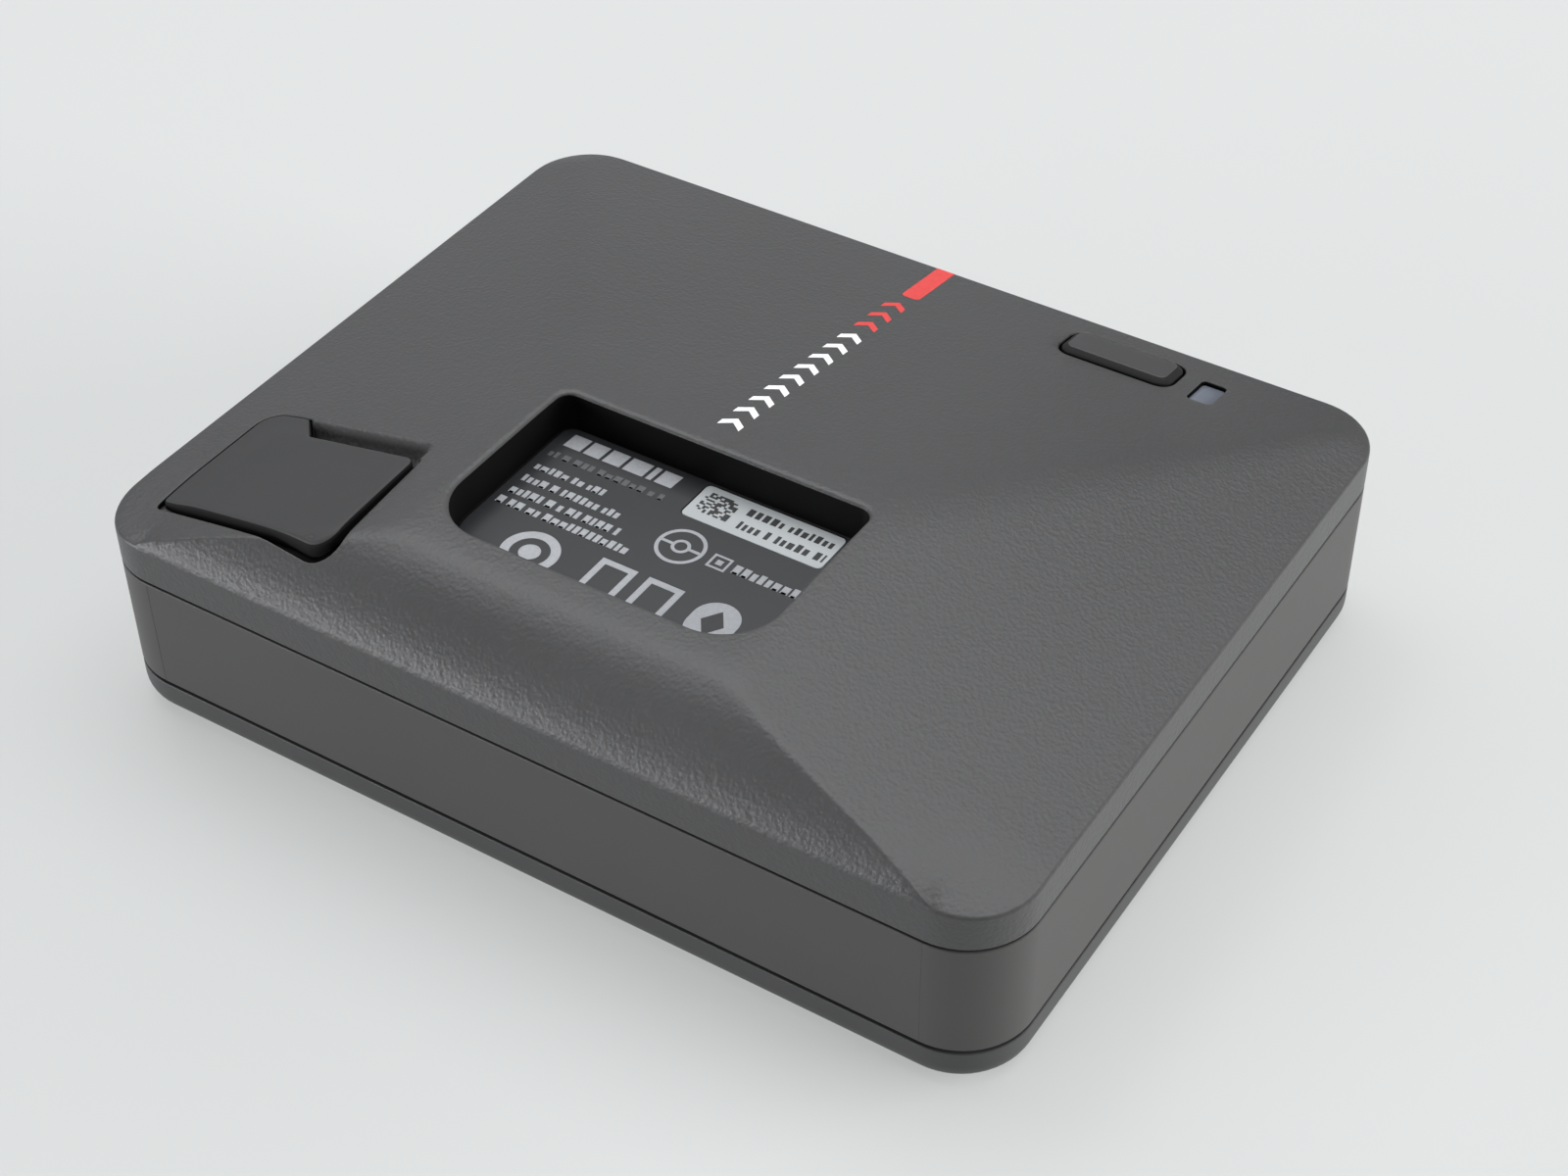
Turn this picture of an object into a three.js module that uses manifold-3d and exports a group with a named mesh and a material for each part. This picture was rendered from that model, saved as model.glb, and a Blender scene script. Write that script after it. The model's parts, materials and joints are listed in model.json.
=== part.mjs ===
// Pocket radar launch monitor for golf, lying on its front (radome) face with its back cover up.
// Units are millimetres, +Z is up. X runs along the long side, Y along the short side, and the origin is the
// centre of the footprint at the height of the front face.
import * as THREE from "three";
import { mergeVertices } from "three/addons/utils/BufferGeometryUtils.js";
import Module from "manifold-3d";

// ---- driving dimensions -------------------------------------------------------------------------------------
const LENGTH = 88.9; // 3.5 in
const WIDTH = 71.1; // 2.8 in
const HEIGHT = 25.4; // 1.0 in
const CORNER_R = 6.4; // plan radius of the case corners
const WALL = 2.2; // side walls
const SKIN = 1.85; // back cover thickness under the facets, measured along Z
const FRONT_FLOOR = 1.6; // radome thickness
const FRONT_TOP = 3.6; // top of the front cover's wall
const FRAME_BOTTOM = 3.98;
const FRAME_TOP = 15.2;
const COVER_BOTTOM = 15.45;
const RIM_Z = 19.1; // where the side walls meet the facets

// pocket for the stand clip
const POCKET_X = 15.65; // half length
const POCKET_Y0 = -24.8;
const POCKET_Y1 = -4.9;
const POCKET_R_NEAR = 5.3;
const POCKET_R_FAR = 1.5;
const POCKET_FLOOR = 21.25;
const POCKET_SKIN = 1.5;
const LAND = 0.4; // flat strip round the mouth
const PY = (POCKET_Y0 + POCKET_Y1) / 2;

// facets of the back cover
const SIDE_SLOPE = (HEIGHT - RIM_Z) / (LENGTH / 2 - POCKET_X - LAND);
const FAR_SLOPE = (HEIGHT - RIM_Z) / (WIDTH / 2 - POCKET_Y1 - LAND);
// the short facet in front of the pocket is crowned: distance in from the edge, height over the rim
const NEAR_PROFILE = [
  [0.0, 0.0],
  [0.35, 0.6],
  [1.15, 1.6],
  [2.45, 2.9],
  [4.05, 4.2],
  [5.65, 5.22],
  [7.25, 5.88],
  [8.85, 6.2],
  [10.35, 6.3],
];

// inside
const PLATE_Z0 = 7.0; // chassis plate
const PLATE_Z1 = 7.8;
const BOARD_Z0 = 14.9; // main board
const BOARD_Z1 = 15.9;
const RADAR_Z0 = 4.6; // radar board
const RADAR_Z1 = 5.4;
const SCREW_X = 38.0;
const SCREW_Y = 29.1;
const BOARD_POSTS = [
  [-22, -28],
  [22, -28],
  [-22, 28],
  [10, 28],
];
const RADAR_POSTS = [
  [-22.5, -17.5],
  [22.5, 17.5],
];

// charging port and its cover
const PORT_X = -30.5;
const PORT_Y = -24.6;
const SEAT = {
  outline: [
    [-40.1, -31.15],
    [-19.75, -32.35],
    [-20.9, -15.85],
    [-40.1, -15.85],
  ],
  radii: [0.8, 2.3, 1.2, 1.2],
  depth: 1.25,
};
const FLAP = {
  outline: [
    [-38.3, -30.5],
    [-20.5, -31.6],
    [-21.0, -18.7],
    [-33.1, -18.5],
    [-35.3, -16.1],
    [-38.3, -16.1],
  ],
  radii: [0.2, 1.9, 1.0, 0.3, 0.4, 0.2],
  y0: -30.45,
  tabY: -16.1,
};
const FLAP_PROUD = 0.45;
const FLAP_UNDER = 1.1;

// power button and status light
const BTN = { x: 20.1, y: 30.8, w: 11.0, d: 4.4, proud: 0.5 };
const LED = { x: 28.83, y: 30.15, w: 2.35, d: 3.7 };

// ---- helpers ------------------------------------------------------------------------------------------------
const wasm = await Module();
wasm.setup();

function solid(geometry) {
  const g = geometry.index ? geometry.toNonIndexed() : geometry.clone();
  for (const k of Object.keys(g.attributes)) if (k !== "position") g.deleteAttribute(k);
  const m = mergeVertices(g, 1e-4);
  return new wasm.Manifold(
    new wasm.Mesh({
      numProp: 3,
      vertProperties: new Float32Array(m.attributes.position.array),
      triVerts: new Uint32Array(m.index.array),
    }),
  );
}

function geometryOf(s) {
  const m = s.getMesh();
  const pos = new Float32Array(m.numVert * 3);
  for (let i = 0; i < m.numVert; i++)
    for (let k = 0; k < 3; k++) pos[3 * i + k] = m.vertProperties[i * m.numProp + k];
  const g = new THREE.BufferGeometry();
  g.setAttribute("position", new THREE.BufferAttribute(pos, 3));
  g.setIndex(new THREE.BufferAttribute(new Uint32Array(m.triVerts), 1));
  return g;
}

// outline of a rounded rectangle from x0..x1 and y0..y1
function roundRect(x0, x1, y0, y1, r) {
  const s = new THREE.Shape();
  s.moveTo(x0 + r, y0);
  s.lineTo(x1 - r, y0);
  s.absarc(x1 - r, y0 + r, r, -Math.PI / 2, 0, false);
  s.lineTo(x1, y1 - r);
  s.absarc(x1 - r, y1 - r, r, 0, Math.PI / 2, false);
  s.lineTo(x0 + r, y1);
  s.absarc(x0 + r, y1 - r, r, Math.PI / 2, Math.PI, false);
  s.lineTo(x0, y0 + r);
  s.absarc(x0 + r, y0 + r, r, Math.PI, 1.5 * Math.PI, false);
  return s;
}
const centred = (w, d, r) => roundRect(-w / 2, w / 2, -d / 2, d / 2, r);

// outline of a counter-clockwise polygon whose corners have their own radii
function roundPoly(points, radii, seg = 6) {
  const out = [];
  const n = points.length;
  for (let i = 0; i < n; i++) {
    const a = new THREE.Vector2(...points[(i + n - 1) % n]);
    const b = new THREE.Vector2(...points[i]);
    const c = new THREE.Vector2(...points[(i + 1) % n]);
    const d0 = b.clone().sub(a).normalize();
    const d1 = c.clone().sub(b).normalize();
    const turn = Math.atan2(d0.cross(d1), d0.dot(d1));
    const t = radii[i] * Math.tan(Math.abs(turn) / 2);
    const s = Math.sign(turn);
    const start = b.clone().addScaledVector(d0, -t);
    const centre = start.clone().add(new THREE.Vector2(-d0.y, d0.x).multiplyScalar(s * radii[i]));
    const a0 = Math.atan2(start.y - centre.y, start.x - centre.x);
    for (let k = 0; k <= seg; k++) {
      const ang = a0 + (turn * k) / seg;
      out.push(new THREE.Vector2(centre.x + radii[i] * Math.cos(ang), centre.y + radii[i] * Math.sin(ang)));
    }
  }
  return new THREE.Shape(out);
}
// outline of the clip pocket, pushed out by o: large corners near, small corners far
const pocketShape = (o) =>
  roundPoly(
    [
      [-POCKET_X - o, POCKET_Y0 - o],
      [POCKET_X + o, POCKET_Y0 - o],
      [POCKET_X + o, POCKET_Y1 + o],
      [-POCKET_X - o, POCKET_Y1 + o],
    ],
    [POCKET_R_NEAR + o, POCKET_R_NEAR + o, POCKET_R_FAR + o, POCKET_R_FAR + o],
    8,
  );

function prismGeometry(shape, z0, z1, seg = 6) {
  const g = new THREE.ExtrudeGeometry(shape, { depth: z1 - z0, bevelEnabled: false, curveSegments: seg });
  g.translate(0, 0, z0);
  return g;
}
const prism = (shape, z0, z1, seg = 6) => solid(prismGeometry(shape, z0, z1, seg));

function boxGeometry(x0, x1, y0, y1, z0, z1) {
  const g = new THREE.BoxGeometry(x1 - x0, y1 - y0, z1 - z0);
  g.translate((x0 + x1) / 2, (y0 + y1) / 2, (z0 + z1) / 2);
  return g;
}
const box = (...a) => solid(boxGeometry(...a));

function cylinder(x, y, r, z0, z1, n = 20) {
  const g = new THREE.CylinderGeometry(r, r, z1 - z0, n);
  g.rotateX(Math.PI / 2);
  g.translate(x, y, (z0 + z1) / 2);
  return solid(g);
}

// case outline, inset by d
const outline = (d) =>
  roundRect(-LENGTH / 2 + d, LENGTH / 2 - d, -WIDTH / 2 + d, WIDTH / 2 - d, Math.max(CORNER_R - d, 0.8));

// closed polygon in the plane across an axis, extruded along that axis
function profileAlongX(points, x0, x1) {
  const g = new THREE.ExtrudeGeometry(new THREE.Shape(points.map(([y, z]) => new THREE.Vector2(y, z))), {
    depth: x1 - x0,
    bevelEnabled: false,
  });
  // shape axes (y, z) and the extrusion become (Y, Z) and X
  g.applyMatrix4(new THREE.Matrix4().makeBasis(
    new THREE.Vector3(0, 1, 0), new THREE.Vector3(0, 0, 1), new THREE.Vector3(1, 0, 0)));
  g.translate(x0, 0, 0);
  return solid(g);
}
function profileAlongY(points, y0, y1) {
  const g = new THREE.ExtrudeGeometry(new THREE.Shape(points.map(([x, z]) => new THREE.Vector2(x, z))), {
    depth: y1 - y0,
    bevelEnabled: false,
  });
  g.applyMatrix4(new THREE.Matrix4().makeBasis(
    new THREE.Vector3(1, 0, 0), new THREE.Vector3(0, 0, 1), new THREE.Vector3(0, -1, 0)));
  g.translate(0, y1, 0);
  return solid(g);
}

// everything under the faceted back surface, moved up or down by dz
function underFacets(dz, zLow = 10) {
  const e = 3; // the planes carry on past the side walls
  const nearSlope0 = NEAR_PROFILE[1][1] / NEAR_PROFILE[1][0];
  const near = NEAR_PROFILE.map(([d, h]) => [-WIDTH / 2 + d, RIM_Z + h + dz]);
  const a = profileAlongX(
    [
      [-WIDTH / 2 - e, zLow],
      [WIDTH / 2 + e, zLow],
      [WIDTH / 2 + e, RIM_Z + dz - e * FAR_SLOPE],
      [POCKET_Y1 + LAND, HEIGHT + dz],
      ...near.slice().reverse(),
      [-WIDTH / 2 - 1.5, RIM_Z + dz - 1.5 * nearSlope0],
      [-WIDTH / 2 - e, RIM_Z + dz - 1.5 * nearSlope0],
    ],
    -60,
    60,
  );
  const b = profileAlongY(
    [
      [-LENGTH / 2 - e, zLow],
      [LENGTH / 2 + e, zLow],
      [LENGTH / 2 + e, RIM_Z + dz - e * SIDE_SLOPE],
      [POCKET_X + LAND, HEIGHT + dz],
      [-POCKET_X - LAND, HEIGHT + dz],
      [-LENGTH / 2 - e, RIM_Z + dz - e * SIDE_SLOPE],
    ],
    -60,
    60,
  );
  return a.intersect(b);
}

// ---- materials ----------------------------------------------------------------------------------------------
const mat = (color, roughness = 0.6, metalness = 0) => new THREE.MeshStandardMaterial({ color, roughness, metalness });
const M = {
  case: () => mat(0x4a4746, 0.62),
  frame: () => mat(0x454241, 0.6),
  radome: () => mat(0x3b3938, 0.66),
  rubber: () => mat(0x3f3c3b, 0.8),
  seal: () => mat(0x151515, 0.85),
  button: () => mat(0x484544, 0.55),
  window: () => mat(0x9aa4ad, 0.25),
  label: () => mat(0x17171a, 0.45),
  paper: () => mat(0xf0f0ee, 0.5),
  board: () => mat(0x1d5a34, 0.45),
  chip: () => mat(0x1b1b1d, 0.5),
  copper: () => mat(0xc9a04f, 0.35, 0.9),
  tin: () => mat(0xb9bcc0, 0.35, 0.9),
  steel: () => mat(0x8d9094, 0.35, 1),
  brass: () => mat(0xc2a052, 0.35, 1),
  magnet: () => mat(0xa9abb0, 0.25, 1),
  foil: () => mat(0xb4b7bb, 0.4, 0.8),
  foam: () => mat(0x222224, 0.95),
  tape: () => mat(0xe6e2d8, 0.6),
  connector: () => mat(0xe9e4d4, 0.5),
  flex: () => mat(0xb87424, 0.4),
  red: () => mat(0xc01f1f, 0.5),
  black: () => mat(0x161616, 0.5),
  led: () => mat(0xf2efe0, 0.3),
};

const monitor = new THREE.Group();
const groups = {};
for (const name of ["enclosure", "controls", "port", "radar", "power", "electronics", "fasteners"]) {
  groups[name] = new THREE.Group();
  monitor.add(groups[name]);
}

function put(group, name, what, material, at) {
  const g = what.isBufferGeometry ? what : geometryOf(what);
  const m = new THREE.Mesh(g, material);
  m.name = name;
  if (at) m.position.set(...at);
  (group.isObject3D ? group : groups[group]).add(m);
  return m;
}

// ---- enclosure ----------------------------------------------------------------------------------------------
// front cover: the radome, a shallow tray with a rounded lower edge
{
  const b = 2.1;
  const g = new THREE.ExtrudeGeometry(outline(b), {
    depth: 10,
    bevelEnabled: true,
    bevelThickness: b,
    bevelSize: b,
    bevelSegments: 4,
    curveSegments: 6,
  });
  g.translate(0, 0, b);
  let s = solid(g).intersect(box(-60, 60, -60, 60, -1, FRONT_TOP));
  s = s.subtract(prism(outline(WALL), FRONT_FLOOR, FRONT_TOP + 1));
  put("enclosure", "front_cover", s, M.radome());
}

// closed ring between two insets of the case outline
const ring = (d0, d1, z0, z1) => prism(outline(d0), z0, z1).subtract(prism(outline(d1), z0 - 1, z1 + 1));

put("enclosure", "front_seal", ring(0.5, 1.9, FRONT_TOP + 0.02, FRAME_BOTTOM - 0.02), M.seal());
put("enclosure", "back_seal", ring(0.45, 1.85, FRAME_TOP + 0.02, COVER_BOTTOM - 0.02), M.seal());

// mid frame: the band between the covers, with the chassis plate, corner bosses and board posts
{
  let s = ring(0, WALL, FRAME_BOTTOM, FRAME_TOP);
  let plate = prism(outline(WALL - 0.5), PLATE_Z0, PLATE_Z1);
  plate = plate.subtract(prism(centred(27, 23, 1.5), PLATE_Z0 - 1, PLATE_Z1 + 1, 3)); // over the radar shield
  plate = plate.subtract(prism(roundRect(27, 33, -6, 6, 1), PLATE_Z0 - 1, PLATE_Z1 + 1, 3)); // flexible cable
  s = s.add(plate);
  for (const sx of [-1, 1])
    for (const sy of [-1, 1]) {
      const x = sx * SCREW_X,
        y = sy * SCREW_Y;
      s = s.add(cylinder(x, y, 3.0, FRAME_BOTTOM, 14.4));
      // web that ties the boss to the corner of the wall
      s = s.add(box(Math.min(x, sx * 42.6), Math.max(x, sx * 42.6), y - 0.7, y + 0.7, FRAME_BOTTOM, 14.4));
      s = s.add(box(x - 0.7, x + 0.7, Math.min(y, sy * 33.7), Math.max(y, sy * 33.7), FRAME_BOTTOM, 14.4));
    }
  for (const [x, y] of BOARD_POSTS) s = s.add(cylinder(x, y, 2.2, PLATE_Z0, BOARD_Z0 - 0.03, 16));
  for (const [x, y] of RADAR_POSTS) s = s.add(cylinder(x, y, 1.9, RADAR_Z1 + 0.03, PLATE_Z1, 16));
  for (const sx of [-1, 1])
    for (const sy of [-1, 1]) {
      s = s.subtract(cylinder(sx * SCREW_X, sy * SCREW_Y, 1.25, FRAME_BOTTOM - 1, 15));
      s = s.subtract(cylinder(sx * SCREW_X, sy * SCREW_Y, 2.2, FRAME_BOTTOM - 1, 6.4));
    }
  for (const [x, y] of BOARD_POSTS) s = s.subtract(cylinder(x, y, 0.95, 9.6, BOARD_Z0 + 1, 12));
  for (const [x, y] of RADAR_POSTS) s = s.subtract(cylinder(x, y, 0.8, RADAR_Z1 - 1, PLATE_Z1 + 1, 12));
  put("enclosure", "mid_frame", s, M.frame());
}

// back cover: faceted shell with the clip pocket, the port seat, and the button and light openings
const facets = underFacets(0);
{
  let s = prism(outline(0), COVER_BOTTOM, HEIGHT).intersect(facets);
  s = s.subtract(prism(outline(WALL), COVER_BOTTOM - 1, HEIGHT).intersect(underFacets(-SKIN)));
  // pocket walls and floor
  s = s.add(
    prism(
      pocketShape(1.5),
      POCKET_FLOOR - POCKET_SKIN,
      HEIGHT,
    ).intersect(facets),
  );
  s = s.subtract(
    prism(pocketShape(0), POCKET_FLOOR, HEIGHT + 1),
  );
  // seat of the port cover, with its floor
  const seatOut = roundRect(-41.3, -18.6, -33.5, -14.6, 2.2);
  const seatIn = roundPoly(SEAT.outline, SEAT.radii);
  s = s.add(
    prism(seatOut, COVER_BOTTOM, HEIGHT, 4)
      .intersect(underFacets(-SKIN + 0.3))
      .intersect(prism(outline(0.5), COVER_BOTTOM, HEIGHT))
      .subtract(underFacets(-SEAT.depth - 1.65)),
  );
  s = s.subtract(prism(seatIn, COVER_BOTTOM, HEIGHT + 2, 4).subtract(underFacets(-SEAT.depth)));
  s = s.subtract(prism(roundRect(PORT_X - 4.4, PORT_X + 4.4, PORT_Y - 1.95, PORT_Y + 1.95, 1.0), 14, 30, 3));
  // two slots for the anchor legs of the port cover
  for (const y of [-24.0, -18.6]) s = s.subtract(box(-39.75, -38.75, y - 1.3, y + 1.3, 14, 30));
  // button opening, with a relief below it for the flange
  s = s.subtract(
    prism(roundRect(BTN.x - 5.75, BTN.x + 5.75, BTN.y - 2.45, BTN.y + 2.45, 1.4), 14, 30, 4),
  );
  s = s.subtract(box(BTN.x - 6.8, BTN.x + 6.8, 27.6, WIDTH / 2 - WALL, 14, 18.15));
  // light opening
  s = s.subtract(
    prism(roundRect(LED.x - LED.w / 2 - 0.06, LED.x + LED.w / 2 + 0.06, LED.y - LED.d / 2 - 0.06, LED.y + LED.d / 2 + 0.06, 0.6), 14, 30, 3),
  );
  // corner bosses for the case screws, with a blind hole for the insert
  for (const sx of [-1, 1])
    for (const sy of [-1, 1]) {
      s = s.add(cylinder(sx * SCREW_X, sy * SCREW_Y, 2.7, 14.6, 24).intersect(underFacets(-SKIN + 0.4, 12)));
      s = s.subtract(cylinder(sx * SCREW_X, sy * SCREW_Y, 1.6, 14, 17.75));
    }
  put("enclosure", "back_cover", s, M.case());
}

// label on the pocket floor, with a die-cut window that the white sticker lies in
{
  const sx = 6.35,
    sy = -7.65 - PY;
  const label = prism(
    roundPoly(
      [
        [-15.35, -9.72],
        [15.35, -9.72],
        [15.35, 9.72],
        [-15.35, 9.72],
      ],
      [5.0, 5.0, 1.2, 1.2],
    ),
    0,
    0.13,
  ).subtract(
    prism(roundRect(sx - 7.0, sx + 7.0, sy - 2.325, sy + 2.325, 0.6), -1, 1, 3),
  );
  put("enclosure", "recess_label", label, M.label(), [0, PY, POCKET_FLOOR + 0.02]);
  put("enclosure", "code_sticker", prismGeometry(centred(13.8, 4.45, 0.5), 0, 0.11, 3), M.paper(), [
    sx,
    PY + sy,
    POCKET_FLOOR + 0.02,
  ]);
}

// ---- charging port ------------------------------------------------------------------------------------------
// rubber cover: a slab that follows the facets, with a stopper for the port; it turns on its own strip at -X
{
  const f = FLAP;
  const o = roundPoly(f.outline, f.radii);
  let s = prism(o, COVER_BOTTOM, HEIGHT + 2).intersect(underFacets(FLAP_PROUD)).subtract(underFacets(-FLAP_UNDER));
  s = s.add(
    prism(roundRect(PORT_X - 4.0, PORT_X + 4.0, PORT_Y - 1.55, PORT_Y + 1.55, 0.8), 20.05, 21.6, 3).intersect(
      underFacets(0),
    ),
  );
  put("port", "usb_flap", s, M.rubber());
  // strip that stays in the case, with two legs through the seat floor and a bead below it
  let a = prism(roundRect(-39.85, -38.55, f.y0, f.tabY, 0.5), COVER_BOTTOM, HEIGHT + 2, 3)
    .intersect(underFacets(FLAP_PROUD - 0.1))
    .subtract(underFacets(-FLAP_UNDER));
  for (const y of [-24.0, -18.6]) a = a.add(box(-39.6, -38.9, y - 1.1, y + 1.1, 16.6, 19.3));
  put("port", "flap_anchor", a, M.rubber());
}

// upright micro port: shell, contact tongue and the gasket between the shell and the cover
{
  const port = new THREE.Group();
  port.position.set(PORT_X, PORT_Y, BOARD_Z1 + 0.02);
  groups.port.add(port);
  const shape = (dx, dy) => {
    const w = 3.8 - dx,
      h = 1.4 - dy;
    return new THREE.Shape(
      [
        [-w, -h + 0.2],
        [-w + 0.9, -h],
        [w - 0.9, -h],
        [w, -h + 0.2],
        [w, h - 0.15],
        [w - 0.15, h],
        [-w + 0.15, h],
        [-w, h - 0.15],
      ].map(([x, y]) => new THREE.Vector2(x, y)),
    );
  };
  put(
    port,
    "usb_shell",
    prism(shape(0, 0), 0, 4.0).subtract(prism(shape(0.3, 0.3), 0.5, 5)),
    M.tin(),
  );
  put(port, "usb_tongue", prismGeometry(centred(5.2, 0.7, 0.1), 0.53, 3.5, 1), M.black(), [0, 0.25, 0]);
  put(
    "port",
    "usb_gasket",
    prism(roundRect(PORT_X - 5.0, PORT_X + 5.0, PORT_Y - 2.8, PORT_Y + 2.8, 1.4), 17.2, HEIGHT, 3)
      .intersect(underFacets(-SEAT.depth - 1.68))
      .subtract(prism(roundRect(PORT_X - 3.88, PORT_X + 3.88, PORT_Y - 1.48, PORT_Y + 1.48, 0.2), 10, 30, 2))
      .subtract(prism(roundRect(PORT_X - 4.4, PORT_X + 4.4, PORT_Y - 1.95, PORT_Y + 1.95, 1.0), 19.0, 30, 3)),
    M.seal(),
  );
}

// ---- power button and status light --------------------------------------------------------------------------
{
  let s = prism(roundRect(BTN.x - BTN.w / 2, BTN.x + BTN.w / 2, BTN.y - BTN.d / 2, BTN.y + BTN.d / 2, 1.2), 17.32, HEIGHT, 4)
    .intersect(underFacets(BTN.proud));
  s = s.add(box(BTN.x - 6.2, BTN.x + 6.2, 28.05, 33.05, 17.32, 17.95));
  put("controls", "power_button", s, M.button());
  put("controls", "button_boot", prismGeometry(centred(12.2, 4.7, 1.0), 0, 0.4, 3), M.seal(), [BTN.x, 30.5, 16.9]);
  put(
    "controls",
    "switch_body",
    prism(centred(4.4, 3.4, 0.4), 0, 0.58, 2).subtract(cylinder(0, 0, 0.95, -1, 2, 16)),
    M.tin(),
    [BTN.x, 30.6, BOARD_Z1 + 0.02],
  );
  const g = new THREE.CylinderGeometry(0.86, 0.86, 0.55, 16);
  g.rotateX(Math.PI / 2);
  put("controls", "switch_plunger", g, M.black(), [BTN.x, 30.6, 16.575]);
  // light pipe whose outer end is the window
  const w = prism(
    roundRect(LED.x - LED.w / 2, LED.x + LED.w / 2, LED.y - LED.d / 2, LED.y + LED.d / 2, 0.55),
    16.95,
    HEIGHT,
    3,
  ).intersect(underFacets(-0.42));
  put("controls", "light_window", w, M.window());
  put("controls", "status_led", boxGeometry(-0.8, 0.8, -0.5, 0.5, 0, 0.6), M.led(), [LED.x, LED.y, BOARD_Z1 + 0.02]);
}

// ---- radar --------------------------------------------------------------------------------------------------
{
  const radar = new THREE.Group();
  radar.position.set(0, 0, RADAR_Z0);
  groups.radar.add(radar);
  const t = RADAR_Z1 - RADAR_Z0;
  let b = prism(centred(52, 42, 1.5), 0, t, 3);
  for (const [x, y] of RADAR_POSTS) b = b.subtract(cylinder(x, y, 1.05, -1, 2, 12));
  put(radar, "radar_board", b, M.board());
  // printed antennas on the front side: square patches joined by a feed line
  const patches = (cx, rows, cols, pitch) => {
    let s = null;
    const add = (q) => (s = s ? s.add(q) : q);
    for (let c = 0; c < cols; c++) {
      const x = cx + (c - (cols - 1) / 2) * pitch;
      add(box(x - 0.2, x + 0.2, (-(rows - 1) / 2) * pitch, ((rows - 1) / 2) * pitch, -0.1, -0.02));
      for (let r = 0; r < rows; r++) {
        const y = (r - (rows - 1) / 2) * pitch;
        add(box(x - 1.7, x + 1.7, y - 1.7, y + 1.7, -0.1, -0.02));
      }
    }
    const x0 = cx - ((cols - 1) / 2) * pitch,
      x1 = cx + ((cols - 1) / 2) * pitch;
    add(box(x0 - 0.2, x1 + 0.2, -0.2, 0.2, -0.1, -0.02));
    return s;
  };
  put(radar, "transmit_antenna", patches(-13.0, 4, 2, 6.2), M.copper());
  put(radar, "receive_antenna", patches(9.3, 4, 3, 6.2), M.copper());
  put(radar, "radar_chip", boxGeometry(-3.2, 3.2, -3.2, 3.2, 0, 0.9), M.chip(), [0, 0, t + 0.02]);
  // shield can: a thin pressed lid over the chip
  put(
    radar,
    "radar_shield",
    prism(centred(25, 21, 1.0), 0, 1.9, 3).subtract(prism(centred(24.4, 20.4, 0.7), -1, 1.6, 3)),
    M.tin(),
    [0, 0, t + 0.02],
  );
  put(radar, "radar_socket", boxGeometry(-2.0, 2.0, -4.4, 4.4, 0, 0.9), M.connector(), [20.2, 0, t + 0.02]);
}
// flexible cable from the radar board up past the battery to the main board
{
  const path = [
    [18.4, 6.36],
    [29.5, 6.36],
    [30.0, 6.86],
    [30.0, 13.2],
    [30.5, 13.7],
    [37.4, 13.7],
  ];
  const th = 0.2;
  const left = [],
    right = [];
  for (let i = 0; i < path.length; i++) {
    const p = new THREE.Vector2(...path[i]);
    const d0 = i ? p.clone().sub(new THREE.Vector2(...path[i - 1])).normalize() : null;
    const d1 = i < path.length - 1 ? new THREE.Vector2(...path[i + 1]).sub(p).normalize() : null;
    const d = (d0 && d1 ? d0.clone().add(d1) : d0 || d1).normalize();
    const k = d0 && d1 ? 1 / Math.max(d.dot(d1), 0.5) : 1;
    left.push([p.x, p.y]);
    right.push([p.x - d.y * th * k, p.y + d.x * th * k]);
  }
  put("radar", "radar_flex", profileAlongY([...left, ...right.reverse()], -4.0, 4.0), M.flex());
  put("radar", "board_radar_socket", boxGeometry(-2.0, 2.0, -4.4, 4.4, 0, 0.9), M.connector(), [35.2, 0, 13.96]);
}

// ---- battery ------------------------------------------------------------------------------------------------
{
  const pack = new THREE.Group();
  pack.position.set(0, 0, PLATE_Z1);
  groups.power.add(pack);
  put(pack, "battery_tape", prismGeometry(centred(46, 28, 0.8), 0.02, 0.22, 2).clone(), M.tape(), [0, 0, 0]);
  put(pack, "battery_cell", prismGeometry(centred(54, 36, 1.6), 0.25, 5.75, 4), M.foil());
  put(pack, "battery_pad", prismGeometry(centred(30, 20, 1.0), 5.78, 7.05, 2), M.foam());
  put(pack, "battery_protection_board", boxGeometry(-29.6, -27.1, -11, 11, 2.6, 3.6), M.board());
  put("power", "battery_plug", boxGeometry(-34.9, -32.5, -2.4, 2.4, 12.5, 14.5), M.connector());
  // socket: a body with a mouth towards the plug
  put(
    "power",
    "battery_socket",
    box(-39.2, -34.95, -3.2, 3.2, 12.2, 14.86).subtract(box(-37.6, -34, -2.5, 2.5, 12.6, 14.4)),
    M.connector(),
  );
  const lead = (side, y) => {
    const c = new THREE.CatmullRomCurve3([
      new THREE.Vector3(-29.75, side * 7.0, 10.9),
      new THREE.Vector3(-30.5, side * 6.9, 10.95),
      new THREE.Vector3(-31.0, side * 4.6, 11.8),
      new THREE.Vector3(-31.2, side * 2.4, 12.9),
      new THREE.Vector3(-31.6, side * y, 13.4),
      new THREE.Vector3(-32.4, side * y, 13.42),
    ]);
    const sec = new THREE.Shape();
    sec.absarc(0, 0, 0.45, 0, 2 * Math.PI, false);
    return new THREE.ExtrudeGeometry(sec, { steps: 14, extrudePath: c, curveSegments: 4 });
  };
  put("power", "battery_lead_red", lead(1, 1.2), M.red());
  put("power", "battery_lead_black", lead(-1, 1.2), M.black());
}

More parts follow.
